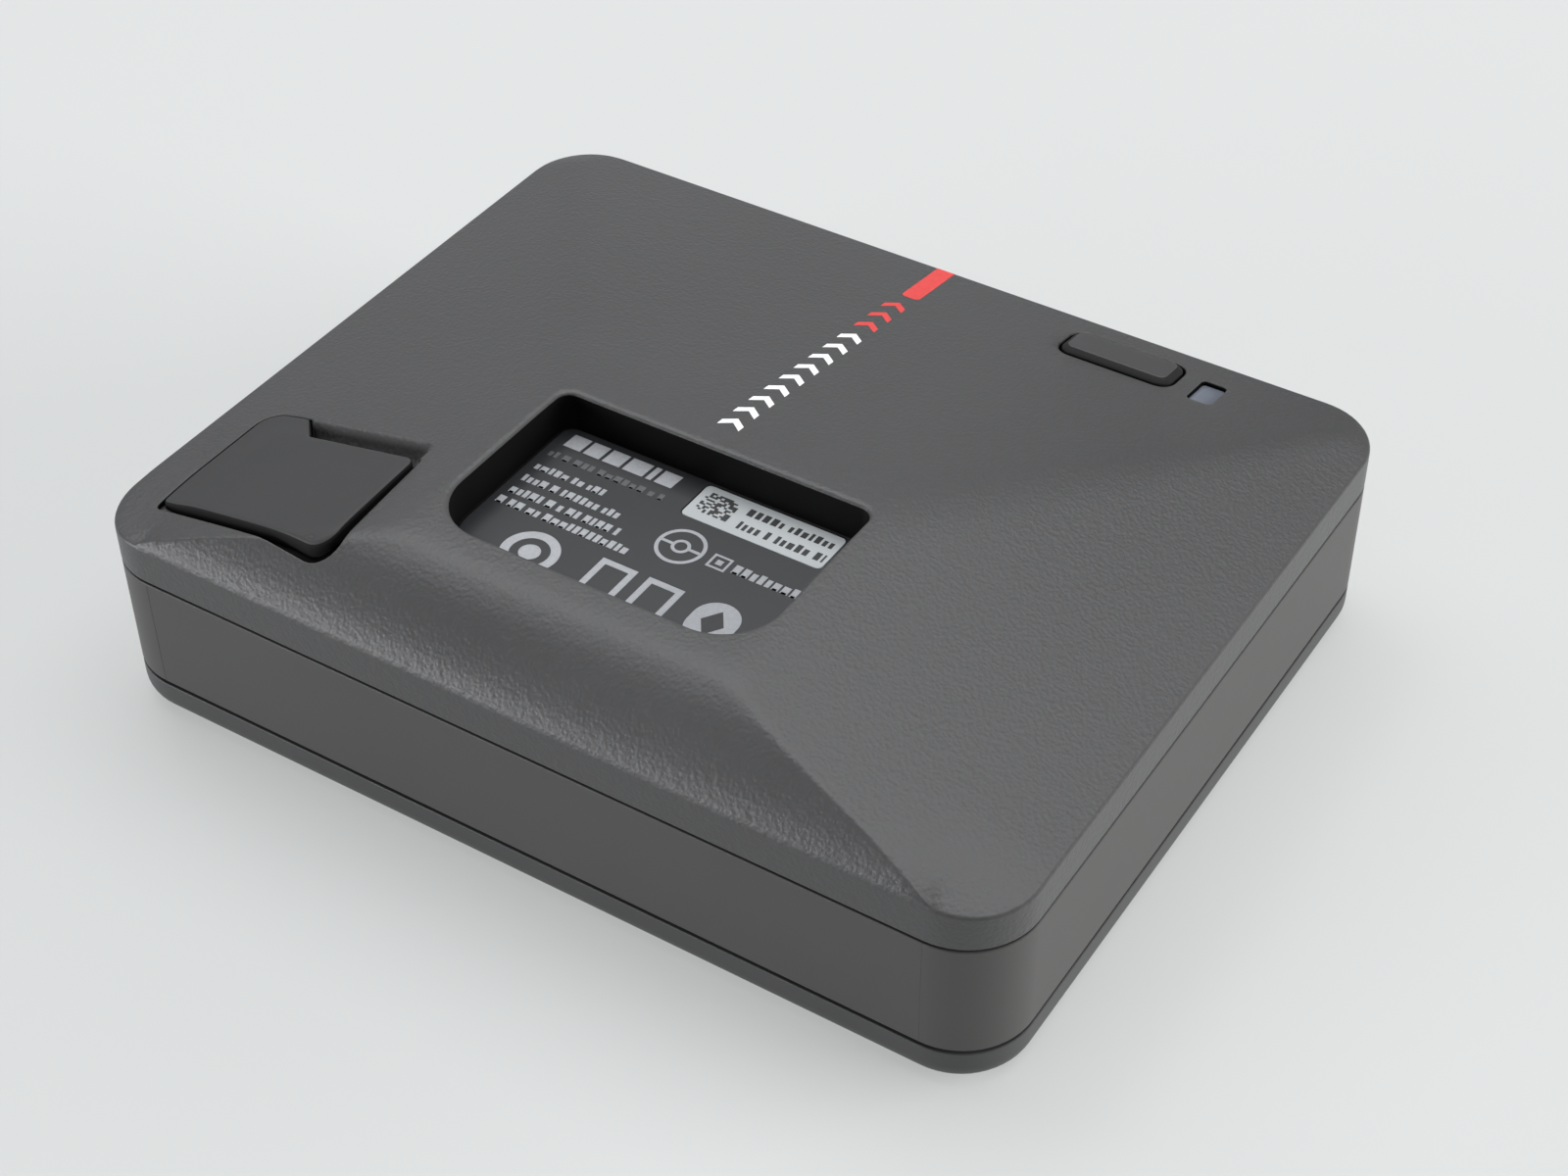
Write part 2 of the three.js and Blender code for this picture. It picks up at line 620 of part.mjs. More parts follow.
// ---- main board ---------------------------------------------------------------------------------------------
{
  let b = prism(centred(83.0, 65.4, 1.5), BOARD_Z0, BOARD_Z1, 3);
  for (const sx of [-1, 1])
    for (const sy of [-1, 1]) {
      const x = sx * SCREW_X,
        y = sy * SCREW_Y;
      b = b.subtract(
        box(sx > 0 ? x - 3.5 : -50, sx > 0 ? 50 : x + 3.5, sy > 0 ? y - 3.5 : -50, sy > 0 ? 50 : y + 3.5, 10, 20),
      );
    }
  for (const [x, y] of BOARD_POSTS) b = b.subtract(cylinder(x, y, 1.15, 10, 20, 14));
  put("electronics", "main_board", b, M.board());
  const onBoard = new THREE.Group();
  onBoard.position.set(0, 0, BOARD_Z1 + 0.02);
  groups.electronics.add(onBoard);
  const chip = (name, x, y, w, d, h, material) =>
    put(onBoard, name, boxGeometry(-w / 2, w / 2, -d / 2, d / 2, 0, h), material, [x, y, 0]);
  chip("processor", -6, 9, 9, 9, 0.9, M.chip());
  chip("memory_chip", 7, 9, 6.5, 8, 0.8, M.chip());
  chip("bluetooth_module", -35, 15, 9, 12, 1.6, M.tin());
  chip("power_chip", -22, -8, 4, 4, 0.8, M.chip());
  chip("power_inductor", -27.5, -8, 4.2, 4.2, 2.0, M.black());
  chip("motion_sensor", 24, 2, 3, 3, 0.9, M.chip());
}

// ---- clip retention behind the pocket floor -----------------------------------------------------------------
{
  const z = POCKET_FLOOR - POCKET_SKIN;
  for (const [n, sx] of [
    ["left", -1],
    ["right", 1],
  ]) {
    const g = new THREE.CylinderGeometry(3.5, 3.5, 1.8, 24);
    g.rotateX(Math.PI / 2);
    put("enclosure", "mount_magnet_" + n, g, M.magnet(), [sx * 9, PY, z - 0.03 - 0.9]);
  }
  put("enclosure", "magnet_yoke", prismGeometry(centred(28, 9, 1.5), 0, 0.8, 3), M.steel(), [0, PY, z - 2.68]);
}

// ---- fasteners ----------------------------------------------------------------------------------------------
// screw with its head at z = 0 and its shank towards +Z; the drive recess is cut in the head
function screw(headR, headH, shankR, length, drive) {
  let s = cylinder(0, 0, headR, -headH, 0, 16).add(cylinder(0, 0, shankR, -headH / 2, length, 12));
  const a = box(-drive, drive, -drive / 4, drive / 4, -headH - 1, -headH * 0.45);
  const b = box(-drive / 4, drive / 4, -drive, drive, -headH - 1, -headH * 0.45);
  return s.subtract(a.add(b));
}
{
  let i = 0;
  for (const sy of [-1, 1])
    for (const sx of [-1, 1]) {
      i++;
      put("fasteners", "case_screw_" + i, screw(1.9, 1.35, 1.0, 10.6, 1.1), M.steel(), [sx * SCREW_X, sy * SCREW_Y, 6.37]);
      put(
        "fasteners",
        "case_insert_" + i,
        cylinder(0, 0, 1.52, 0, 2.9, 14).subtract(cylinder(0, 0, 1.08, -1, 4, 12)),
        M.brass(),
        [sx * SCREW_X, sy * SCREW_Y, 14.75],
      );
    }
  BOARD_POSTS.forEach(([x, y], k) => {
    const m = put("fasteners", "board_screw_" + (k + 1), screw(1.8, 1.1, 0.85, 5.2, 1.0), M.steel(), [x, y, BOARD_Z1 + 0.02]);
    m.rotation.x = Math.PI; // shank down, head on top
  });
  RADAR_POSTS.forEach(([x, y], k) => {
    put("fasteners", "radar_screw_" + (k + 1), screw(1.5, 0.8, 0.7, 2.6, 0.8), M.steel(), [x, y, RADAR_Z0 - 0.02]);
  });
}

export default monitor;
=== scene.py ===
import bpy
import json
import math
import numpy as np
from mathutils import Matrix, Vector
from mathutils.geometry import delaunay_2d_cdt


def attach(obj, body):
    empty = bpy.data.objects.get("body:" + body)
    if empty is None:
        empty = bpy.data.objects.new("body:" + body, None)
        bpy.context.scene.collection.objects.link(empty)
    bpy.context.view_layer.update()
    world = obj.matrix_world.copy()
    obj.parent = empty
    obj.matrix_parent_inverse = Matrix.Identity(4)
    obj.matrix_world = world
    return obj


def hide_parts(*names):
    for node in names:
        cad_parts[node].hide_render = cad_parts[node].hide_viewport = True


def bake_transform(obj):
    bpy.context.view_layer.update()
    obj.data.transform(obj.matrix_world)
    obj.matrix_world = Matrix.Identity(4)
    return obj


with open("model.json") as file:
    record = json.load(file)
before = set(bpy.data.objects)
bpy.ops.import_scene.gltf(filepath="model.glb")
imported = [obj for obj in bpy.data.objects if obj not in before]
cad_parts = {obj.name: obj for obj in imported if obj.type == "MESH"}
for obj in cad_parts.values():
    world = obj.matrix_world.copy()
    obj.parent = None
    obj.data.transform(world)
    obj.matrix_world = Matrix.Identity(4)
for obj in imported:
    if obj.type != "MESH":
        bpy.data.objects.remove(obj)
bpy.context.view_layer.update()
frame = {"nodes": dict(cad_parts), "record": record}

MM = 0.001
scene = bpy.context.scene

# ------------------------------------------------------------------------------------------------------------------
# sizes, in millimetres, in the row frame
# ------------------------------------------------------------------------------------------------------------------
HX, HY = 44.45, 35.55
TOP, RIM = 25.4, 19.1
COVER_Z, FRAME_TOP, FRAME_Z, FRONT_TOP = 15.45, 15.2, 3.98, 3.60
CORNER = 6.4
FOOT_R = 2.1
WALL, SKIN = 2.2, 1.85
POCKET = (-15.65, 15.65, -24.8, -4.95)
POCKET_RAD = [5.3, 5.2, 1.5, 1.3]
POCKET_FLOOR = 21.25
LABEL_Z = 21.40
SIDE_SLOPE = (TOP - RIM) / (HX - 15.65 - 0.4)
FAR_SLOPE = (TOP - RIM) / (HY + 4.65 - 0.4)
BTN = dict(x=20.1, y=30.8, w=11.0, d=4.4, proud=0.5)
LED = dict(x=28.83, y=30.15, w=2.35, d=3.7)
SEAT_DEPTH = 1.25

NEAR = np.array([[0, 0], [.35, .6], [1.15, 1.6], [2.45, 2.9], [4.05, 4.2], [5.65, 5.22], [7.25, 5.88], [8.85, 6.2],
                 [10.35, 6.3], [14, 6.3], [80, 6.3]])
CREASE = np.array([[0, -20.0], [11.0, -26.0], [12.1, -26.54], [16.66, -28.54], [20.23, -29.85], [24.2, -31.17],
                   [28.04, -32.37], [30.66, -33.08], [33.31, -33.88], [35.97, -34.73], [38.06, -35.37],
                   [39.45, -35.6], [44.45, -36.2]])
DIP = np.array([[0, .10], [16, .10], [20, .10], [25, .10], [28, .12], [31, .19], [33.5, .36], [36, .66], [38.2, 1.05],
                [39.45, 1.12], [60, 1.12]])


def pchip(table):
    """Monotone cubic through a table, as a function of arrays."""
    x, y = table[:, 0].astype(float), table[:, 1].astype(float)
    h = np.diff(x)
    d = np.diff(y) / h
    m = np.zeros(len(x))
    m[0], m[-1] = d[0], d[-1]
    for i in range(1, len(x) - 1):
        if d[i - 1] * d[i] > 0:
            w1, w2 = 2 * h[i] + h[i - 1], h[i] + 2 * h[i - 1]
            m[i] = (w1 + w2) / (w1 / d[i - 1] + w2 / d[i])

    def f(t):
        t = np.asarray(t, float)
        k = np.clip(np.searchsorted(x, t) - 1, 0, len(x) - 2)
        u = (t - x[k]) / h[k]
        u2, u3 = u * u, u * u * u
        return ((2 * u3 - 3 * u2 + 1) * y[k] + (u3 - 2 * u2 + u) * h[k] * m[k]
                + (-2 * u3 + 3 * u2) * y[k + 1] + (u3 - u2) * h[k] * m[k + 1])
    return f


near_f, crease_f, dip_f = pchip(NEAR), pchip(CREASE), pchip(DIP)


def smin(a, b, k):
    h = np.clip(0.5 + 0.5 * (b - a) / k, 0, 1)
    return b * (1 - h) + a * h - k * h * (1 - h)


def base_z(x, y):
    """Outer surface of the back cover before any opening is cut."""
    x, y = np.asarray(x, float), np.asarray(y, float)
    ax = np.abs(x)
    e = (y - crease_f(ax)) * 0.957
    foot = np.clip(ax - e * 0.29, 0, 60)
    dip = dip_f(foot) * np.clip(1 - np.clip(e, 0, None) / 10.0, 0, 1) ** 2
    side = RIM + SIDE_SLOPE * (HX - ax) - dip
    far = RIM + FAR_SLOPE * (HY - y)
    d = y + HY
    nz = RIM + np.where(d > 0, near_f(np.clip(d, 0, 60)), 1.714 * d)
    z = smin(side, TOP + 0 * x, 0.35)
    soft = 0.15 + 0.9 * np.clip((HY - y) / 30, 0, 1)
    z = smin(z, far, soft)
    kn = 0.10 + 0.35 * np.clip((30 - ax) / 16, 0, 1)
    z = smin(z, nz, kn)
    # the far corners' rim stays level round the arc
    qx, qy = ax - (HX - CORNER), np.abs(y) - (HY - CORNER)
    rho = np.hypot(np.clip(qx, 0, None), np.clip(qy, 0, None))
    cap = RIM + 0.32 * (CORNER - rho)
    z = np.where((qx > 0) & (qy > 0), smin(z, cap, 0.06), z)
    return z


def scoop(x, y):
    """Fingernail ramp beside the port cover: how far the surface is cut down there."""
    x, y = np.asarray(x, float), np.asarray(y, float)
    t = np.clip((-15.95 - y) / 2.3, 0, 1)
    depth = 1.28 * np.sin(t * math.pi / 2) ** 1.15
    left = x - np.interp(-y, [15.98, 18.42], [-35.22, -33.0])
    inside = np.clip(left / 0.2, 0, 1) * np.clip((-21.0 - np.clip((y + 17.2) * 0.55, 0, 9) - x) / 0.55, 0, 1)
    inside = inside * inside * (3 - 2 * inside)
    return depth * inside * (y > -19.0)


def top_z(x, y):
    return base_z(x, y) - scoop(x, y)


# ------------------------------------------------------------------------------------------------------------------
# outlines and meshes
# ------------------------------------------------------------------------------------------------------------------
def rounded(points, radii, off=0.0, seg=10, step=1.5):
    """Closed outline through a polygon (counter-clockwise) with rounded corners, pushed outwards by off.
    The number of points doesn't depend on off, so outlines of one polygon can be joined point to point."""
    P = np.array(points, float)
    n = len(P)
    radii = [radii] * n if np.isscalar(radii) else list(radii)

    def corners(o):
        Q, R = [], []
        for i in range(n):
            a, b, c = P[i - 1], P[i], P[(i + 1) % n]
            d0, d1 = (b - a) / np.linalg.norm(b - a), (c - b) / np.linalg.norm(c - b)
            n0, n1 = np.array([d0[1], -d0[0]]), np.array([d1[1], -d1[0]])
            cross = d0[0] * d1[1] - d0[1] * d1[0]
            k = (n0 + n1) / (1 + n0 @ n1)
            Q.append(b + o * k)
            R.append(max(radii[i] + (o if cross > 0 else -o), 0.02))
        return np.array(Q), R

    def build(o):
        Q, R = corners(o)
        arcs = []
        for i in range(n):
            a, b, c = Q[i - 1], Q[i], Q[(i + 1) % n]
            d0, d1 = (b - a) / np.linalg.norm(b - a), (c - b) / np.linalg.norm(c - b)
            cross = d0[0] * d1[1] - d0[1] * d1[0]
            ang = math.atan2(cross, d0 @ d1)
            t = R[i] * math.tan(abs(ang) / 2)
            s = np.sign(cross)
            centre = b - d0 * t + s * R[i] * np.array([-d0[1], d0[0]])
            a0 = math.atan2(*(b - d0 * t - centre)[::-1])
            arcs.append([centre + R[i] * np.array([math.cos(a0 + ang * k / seg), math.sin(a0 + ang * k / seg)])
                         for k in range(seg + 1)])
        return arcs

    ref = build(0.0)
    counts = [max(1, int(np.linalg.norm(ref[(i + 1) % n][0] - ref[i][-1]) / step)) for i in range(n)]
    arcs = build(off)
    out = []
    for i in range(n):
        out += arcs[i]
        p, q = arcs[i][-1], arcs[(i + 1) % n][0]
        for k in range(1, counts[i]):
            out.append(p + (q - p) * k / counts[i])
    return np.array(out)


def rect(x0, x1, y0, y1):
    return [(x0, y0), (x1, y0), (x1, y1), (x0, y1)]


def outline(inset=0.0, seg=14, step=2.0):
    return rounded(rect(-HX, HX, -HY, HY), CORNER, -inset, seg, step)


def inside(poly, pts):
    x, y = pts[:, 0], pts[:, 1]
    r = np.zeros(len(pts), bool)
    a, b = poly, np.roll(poly, -1, 0)
    for (x0, y0), (x1, y1) in zip(a, b):
        if y0 == y1:
            continue
        c = ((y0 > y) != (y1 > y)) & (x < (x1 - x0) * (y - y0) / (y1 - y0) + x0)
        r ^= c
    return r


def near_poly(poly, pts, dist):
    r = np.zeros(len(pts), bool)
    for p, q in zip(poly, np.roll(poly, -1, 0)):
        d = q - p
        L = d @ d
        t = np.clip(((pts - p) @ d) / L, 0, 1) if L > 0 else np.zeros(len(pts))
        r |= np.linalg.norm(pts - (p + t[:, None] * d), axis=1) < dist
    return r


class Build:
    """Collects vertices and faces of one piece, with a material number for each face."""

    def __init__(self):
        self.v, self.f, self.m, self.sharp = [], [], [], []

    def add(self, pts):
        i = len(self.v)
        self.v += [tuple(map(float, p)) for p in pts]
        return list(range(i, i + len(pts)))

    def ring(self, loop, z):
        z = np.broadcast_to(z, (len(loop),))
        return self.add([(p[0], p[1], zz) for p, zz in zip(loop, z)])

    def bridge(self, a, b, mat=0, closed=True):
        """Faces from ring a to ring b. They face outwards when a is above b and both run counter-clockwise."""
        n = len(a)
        for i in range(n if closed else n - 1):
            j = (i + 1) % n
            self.f.append((a[i], b[i], b[j], a[j]))
            self.m.append(mat)

    def mark(self, ring):
        self.sharp.append(ring)

    def fill(self, rings, extra=None, zf=None, up=True, mat=0):
        """A sheet between the outer ring rings[0] and the holes rings[1:], through the points extra, at height zf."""
        pts = [self.v[i][:2] for r in rings for i in r]
        ids = [i for r in rings for i in r]
        edges, s = [], 0
        for r in rings:
            n = len(r)
            edges += [(s + k, s + (k + 1) % n) for k in range(n)]
            s += n
        if extra is not None and len(extra):
            extra = np.asarray(extra, float)
            z = zf(extra[:, 0], extra[:, 1])
            new = self.add(np.column_stack([extra, z]))
            pts += [tuple(p) for p in extra]
            ids += new
        vo, _, fo, origin, _, _ = delaunay_2d_cdt([Vector(p) for p in pts], edges, [], 0, 1e-6)
        vo = np.array([tuple(p) for p in vo])
        idx = []
        for k, o in enumerate(origin):
            idx.append(ids[o[0]] if o else None)
        tri = np.array([f for f in fo if len(f) == 3])
        c = vo[tri].mean(1)
        keep = inside(np.array([self.v[i][:2] for i in rings[0]]), c)
        for r in rings[1:]:
            keep &= ~inside(np.array([self.v[i][:2] for i in r]), c)
        for t in tri[keep]:
            a, b, cc = vo[t[0]], vo[t[1]], vo[t[2]]
            area = (b[0] - a[0]) * (cc[1] - a[1]) - (b[1] - a[1]) * (cc[0] - a[0])
            t = [idx[k] for k in t]
            if None in t:
                raise RuntimeError("outlines cross")
            if (area > 0) != up:
                t = t[::-1]
            self.f.append(tuple(t))
            self.m.append(mat)

    def object(self, name, mats, smooth=math.radians(38), weld=True):
        me = bpy.data.meshes.new(name)
        me.from_pydata([(a * MM, b * MM, c * MM) for a, b, c in self.v], [], self.f)
        for m in mats:
            me.materials.append(m)
        me.polygons.foreach_set("material_index", self.m)
        me.validate()
        if weld:
            import bmesh
            bm = bmesh.new()
            bm.from_mesh(me)
            bmesh.ops.remove_doubles(bm, verts=bm.verts, dist=1e-7)
            loose = [v for v in bm.verts if not v.link_faces]
            bmesh.ops.delete(bm, geom=loose, context="VERTS")
            bm.to_mesh(me)
            bm.free()
        me.polygons.foreach_set("use_smooth", [True] * len(me.polygons))
        me.set_sharp_from_angle(angle=smooth)
        o = bpy.data.objects.new(name, me)
        scene.collection.objects.link(o)
        w = o.modifiers.new("normals", "WEIGHTED_NORMAL")
        w.keep_sharp = True
        w.weight = 60
        return o


def fillet(r, n=6):
    """Offsets from a wall and drops below a surface along a quarter round, from the surface to the wall."""
    return [(r - r * math.cos(a), r - r * math.sin(a)) for a in np.linspace(math.pi / 2, 0, n + 1)]


def scatter(x0, x1, y0, y1, d, seed=3):
    """Evenly spaced points in a triangular pattern."""
    out = []
    row = 0
    y = y0
    while y < y1:
        x = x0 + (d / 2 if row % 2 else 0)
        while x < x1:
            out.append((x, y))
            x += d
        y += d * 0.866
        row += 1
    return np.array(out)


# ------------------------------------------------------------------------------------------------------------------
# materials
# ------------------------------------------------------------------------------------------------------------------
class Mat:
    def __init__(self, name, color, rough=0.5, metal=0.0, spec=0.5, coat=0.0):
        self.m = bpy.data.materials.new(name)
        self.m.use_nodes = True
        self.t = self.m.node_tree
        self.b = self.t.nodes["Principled BSDF"]
        self.b.inputs["Base Color"].default_value = (*color, 1)
        self.b.inputs["Roughness"].default_value = rough
        self.b.inputs["Metallic"].default_value = metal
        self.b.inputs["Specular IOR Level"].default_value = spec
        self.b.inputs["Coat Weight"].default_value = coat
        self.color = color
        self.coord = self.t.nodes.new("ShaderNodeTexCoord")
        self.height = None

    def node(self, kind, **values):
        n = self.t.nodes.new(kind)
        for k, v in values.items():
            if k in n.inputs:
                n.inputs[k].default_value = v
            else:
                setattr(n, k, v)
        return n

    def link(self, a, b):
        self.t.links.new(a, b)

    def noise(self, scale, detail=3, rough=0.5, distortion=0.0, stretch=None):
        n = self.node("ShaderNodeTexNoise")
        n.inputs["Scale"].default_value = scale
        n.inputs["Detail"].default_value = detail
        n.inputs["Roughness"].default_value = rough
        n.inputs["Distortion"].default_value = distortion
        src = self.coord.outputs["Object"]
        if stretch:
            m = self.node("ShaderNodeMapping")
            m.inputs["Scale"].default_value = stretch
            self.link(src, m.inputs["Vector"])
            src = m.outputs["Vector"]
        self.link(src, n.inputs["Vector"])
        return n.outputs["Fac"]

    def voronoi(self, scale, feature="SMOOTH_F1", smooth=0.6):
        n = self.node("ShaderNodeTexVoronoi")
        n.feature = feature
        n.inputs["Scale"].default_value = scale
        if feature == "SMOOTH_F1":
            n.inputs["Smoothness"].default_value = smooth
        self.link(self.coord.outputs["Object"], n.inputs["Vector"])
        return n.outputs["Distance"]

    def remap(self, x, a, b, c, d):
        n = self.node("ShaderNodeMapRange")
        n.inputs["From Min"].default_value = a
        n.inputs["From Max"].default_value = b
        n.inputs["To Min"].default_value = c
        n.inputs["To Max"].default_value = d
        self.link(x, n.inputs["Value"])
        return n.outputs["Result"]

    def math(self, op, a, b):
        n = self.node("ShaderNodeMath", operation=op)
        for s, v in zip(n.inputs, (a, b)):
            if isinstance(v, (int, float)):
                s.default_value = v
            else:
                self.link(v, s)
        return n.outputs["Value"]

    def tint(self, fac, amount=0.12, low=0.3, high=0.7):
        """Colour that varies a little, darker to lighter, with a texture."""
        r = self.node("ShaderNodeValToRGB")
        c = self.color
        r.color_ramp.elements[0].position = low
        r.color_ramp.elements[1].position = high
        r.color_ramp.elements[0].color = (*[v * (1 - amount) for v in c], 1)
        r.color_ramp.elements[1].color = (*[min(1, v * (1 + amount)) for v in c], 1)
        self.link(fac, r.inputs["Fac"])
        self.link(r.outputs["Color"], self.b.inputs["Base Color"])
        return r.outputs["Color"]

    def rough(self, fac, low, high):
        self.link(self.remap(fac, 0.3, 0.7, low, high), self.b.inputs["Roughness"])

    def bump(self, height, distance, strength=1.0):
        n = self.node("ShaderNodeBump")
        n.inputs["Distance"].default_value = distance
        n.inputs["Strength"].default_value = strength
        self.link(height, n.inputs["Height"])
        if self.height is not None:
            self.link(self.height, n.inputs["Normal"])
        self.height = n.outputs["Normal"]
        self.link(self.height, self.b.inputs["Normal"])


def grained(name, color, rough=0.55, grain=1.0, scale=1.0, spec=0.5, fine=1.0, shade=False):
    """Moulded plastic with a fine spark-eroded skin: shallow pebbles of about 0.3 mm with a finer grit on them. With
    shade, painted shade darkens the fingernail ramp beside the port cover.
    """
    m = Mat(name, color, rough, spec=spec)
    peb = m.voronoi(2900 * scale, "SMOOTH_F1", 0.8)
    warp = m.noise(1500 * scale, 4, 0.62, 0.35)
    grit = m.noise(5200 * scale, 4, 0.7)
    cloud = m.noise(38, 3, 0.55)
    h = m.math("ADD", m.math("MULTIPLY", peb, 0.55), m.math("MULTIPLY", warp, 0.75))
    m.bump(h, 0.000050 * grain, 0.85)
    m.bump(grit, 0.000014 * fine, 0.7)
    mix = m.math("ADD", m.math("MULTIPLY", cloud, 0.6), m.math("MULTIPLY", warp, 0.4))
    color_out = m.tint(mix, 0.055, 0.35, 0.65)
    m.rough(mix, rough - 0.035, rough + 0.045)
    if shade:
        # painted shade: the fingernail ramp beside the port cover is darkened in colour and in specular as if in the
        # flap's shade, darkest at its left end
        xyz = m.node("ShaderNodeSeparateXYZ")
        m.link(m.coord.outputs["Object"], xyz.inputs["Vector"])
        x, y = xyz.outputs["X"], xyz.outputs["Y"]
        f = m.math("MULTIPLY", m.remap(y, -0.01600, -0.01675, 0, 1), m.remap(y, -0.0192, -0.0188, 0, 1))
        f = m.math("MULTIPLY", f, m.remap(x, -0.0354, -0.0351, 0, 1))
        f = m.math("MULTIPLY", f, m.remap(x, -0.0222, -0.0208, 1, 0))
        f = m.math("MULTIPLY", f, m.remap(x, -0.0352, -0.0315, 0.90, 0.70))
        hsv = m.node("ShaderNodeHueSaturation")
        m.link(m.math("SUBTRACT", 1.0, f), hsv.inputs["Value"])
        m.link(color_out, hsv.inputs["Color"])
        m.link(hsv.outputs["Color"], m.b.inputs["Base Color"])
        m.link(m.remap(f, 0.0, 0.9, spec, 0.1), m.b.inputs["Specular IOR Level"])
    return m.m


def satin(name, color, rough=0.5, spec=0.5, bump=0.000010):
    """Smoother moulded plastic: a faint even grit, with slight clouding."""
    m = Mat(name, color, rough, spec=spec)
    grit = m.noise(4200, 4, 0.7)
    cloud = m.noise(55, 3, 0.55)
    m.bump(grit, bump, 0.7)
    m.tint(cloud, 0.05, 0.35, 0.65)
    m.rough(cloud, rough - 0.03, rough + 0.04)
    return m.m


def rubbery(name, color, rough=0.72):
    m = Mat(name, color, rough, spec=0.32)
    m.bump(m.noise(3000, 4, 0.65), 0.000020, 0.7)
    m.bump(m.noise(420, 2, 0.5), 0.00003, 0.35)
    cloud = m.noise(70, 3, 0.55)
    m.tint(cloud, 0.06, 0.35, 0.65)
    m.rough(cloud, rough - 0.05, rough + 0.06)
    return m.m


def metal(name, color, rough=0.3, stretch=(1, 14, 14)):
    m = Mat(name, color, rough, 1.0)
    g = m.noise(900, 4, 0.6, 0.0, stretch)
    cloud = m.noise(160, 3, 0.6)
    m.bump(g, 0.000008, 0.5)
    m.tint(cloud, 0.07)
    m.rough(cloud, rough - 0.06, rough + 0.10)
    return m.m


def board_mat(name, color):
    """Solder mask over tracks: a slightly raised track pattern and fine glass weave below."""
    m = Mat(name, color, 0.34, spec=0.5)
    w = m.node("ShaderNodeTexVoronoi")
    w.feature = "DISTANCE_TO_EDGE"
    w.distance = "EUCLIDEAN"
    w.inputs["Scale"].default_value = 420
    m.link(m.coord.outputs["Object"], w.inputs["Vector"])
    track = m.remap(w.outputs["Distance"], 0.03, 0.06, 1.0, 0.0)
    r = m.node("ShaderNodeValToRGB")
    r.color_ramp.elements[0].color = (*[c * 0.85 for c in color], 1)
    r.color_ramp.elements[1].color = (*[min(1, c * 1.7 + 0.01) for c in color], 1)
    m.link(track, r.inputs["Fac"])
    m.link(r.outputs["Color"], m.b.inputs["Base Color"])
    m.bump(track, 0.00002, 0.6)
    m.bump(m.noise(2600, 2, 0.5), 0.000006, 0.4)
    return m.m


def ink(name, color, rough=0.45):
    """Pad-printed ink: slightly uneven cover with a little of the ground showing through."""
    m = Mat(name, color, rough, spec=0.4)
    m.tint(m.noise(2600, 4, 0.7), 0.10, 0.3, 0.7)
    m.bump(m.noise(4800, 3, 0.7), 0.000012, 0.6)
    m.rough(m.noise(900, 3, 0.6), rough - 0.06, rough + 0.08)
    return m.m


COVER = grained("cover_plastic_v", (0.0475, 0.0475, 0.0485), 0.42, 1.4, shade=True)
BAND = satin("frame_plastic_v", (0.050, 0.0485, 0.0478), 0.50)
RADOME = satin("radome_v", (0.043, 0.0432, 0.0438), 0.50)
# near-black copy of the cover plastic for recess walls and floors: painted shade
RECESS_SHADE = satin("recess_painted_shade_v", (0.0036, 0.0035, 0.0036), 0.62, 0.12)
SEAL = rubbery("seal_v", (0.008, 0.008, 0.008), 0.8)
FLAPM = rubbery("flap_rubber_v", (0.0375, 0.0375, 0.0385), 0.56)
# near-black copy of the flap rubber for its side walls: painted shade in the gap round it
FLAP_SIDE_SHADE = rubbery("flap_side_painted_shade_v", (0.005, 0.005, 0.005), 0.85)
BUTTONM = satin("button_v", (0.046, 0.046, 0.047), 0.50, 0.36)
# near-black copy of the button plastic for its sides: painted shade in the gap round it
BUTTON_SIDE_SHADE = satin("button_side_painted_shade_v", (0.013, 0.013, 0.013), 0.62, 0.2)
WINDOWM = satin("window_v", (0.135, 0.15, 0.18), 0.34, 0.4)
LABELM = satin("label_v", (0.026, 0.027, 0.030), 0.36, 0.45, 0.000004)
PAPER = satin("paper_v", (0.48, 0.505, 0.515), 0.42, 0.35, 0.000006)
WHITE = ink("white_ink_v", (0.80, 0.82, 0.83))
GREY = ink("grey_ink_v", (0.36, 0.37, 0.39))
DIMINK = ink("dim_ink_v", (0.10, 0.105, 0.11))
DARKINK = ink("dark_ink_v", (0.03, 0.03, 0.032))
REDINK = ink("red_ink_v", (0.58, 0.050, 0.047), 0.42)
BOARD = board_mat("board_v", (0.010, 0.085, 0.038))
CHIP = satin("chip_v", (0.012, 0.012, 0.013), 0.42)
GOLD = metal("gold_v", (0.80, 0.56, 0.22), 0.24)
TIN = metal("tin_v", (0.62, 0.62, 0.63), 0.30)
STEEL = metal("steel_v", (0.42, 0.42, 0.43), 0.30)
BRASS = metal("brass_v", (0.66, 0.46, 0.17), 0.30)
NICKEL = metal("nickel_v", (0.62, 0.61, 0.60), 0.16)
FOIL = metal("foil_v", (0.56, 0.57, 0.58), 0.36, (3, 3, 3))
FOAM = rubbery("foam_v", (0.018, 0.018, 0.020), 0.95)
TAPE = satin("tape_v", (0.72, 0.69, 0.60), 0.55)
NYLON = satin("nylon_v", (0.74, 0.70, 0.58), 0.48)
FLEX = satin("flex_v", (0.50, 0.20, 0.035), 0.32, 0.5)
WIRER = satin("wire_red_v", (0.46, 0.015, 0.015), 0.45)
WIREB = satin("wire_black_v", (0.012, 0.012, 0.012), 0.45)
BLACKP = satin("black_plastic_v", (0.012, 0.012, 0.012), 0.5)
FERRITE = satin("ferrite_v", (0.030, 0.030, 0.032), 0.6)
EPOXY = satin("led_v", (0.84, 0.82, 0.70), 0.25, 0.5)

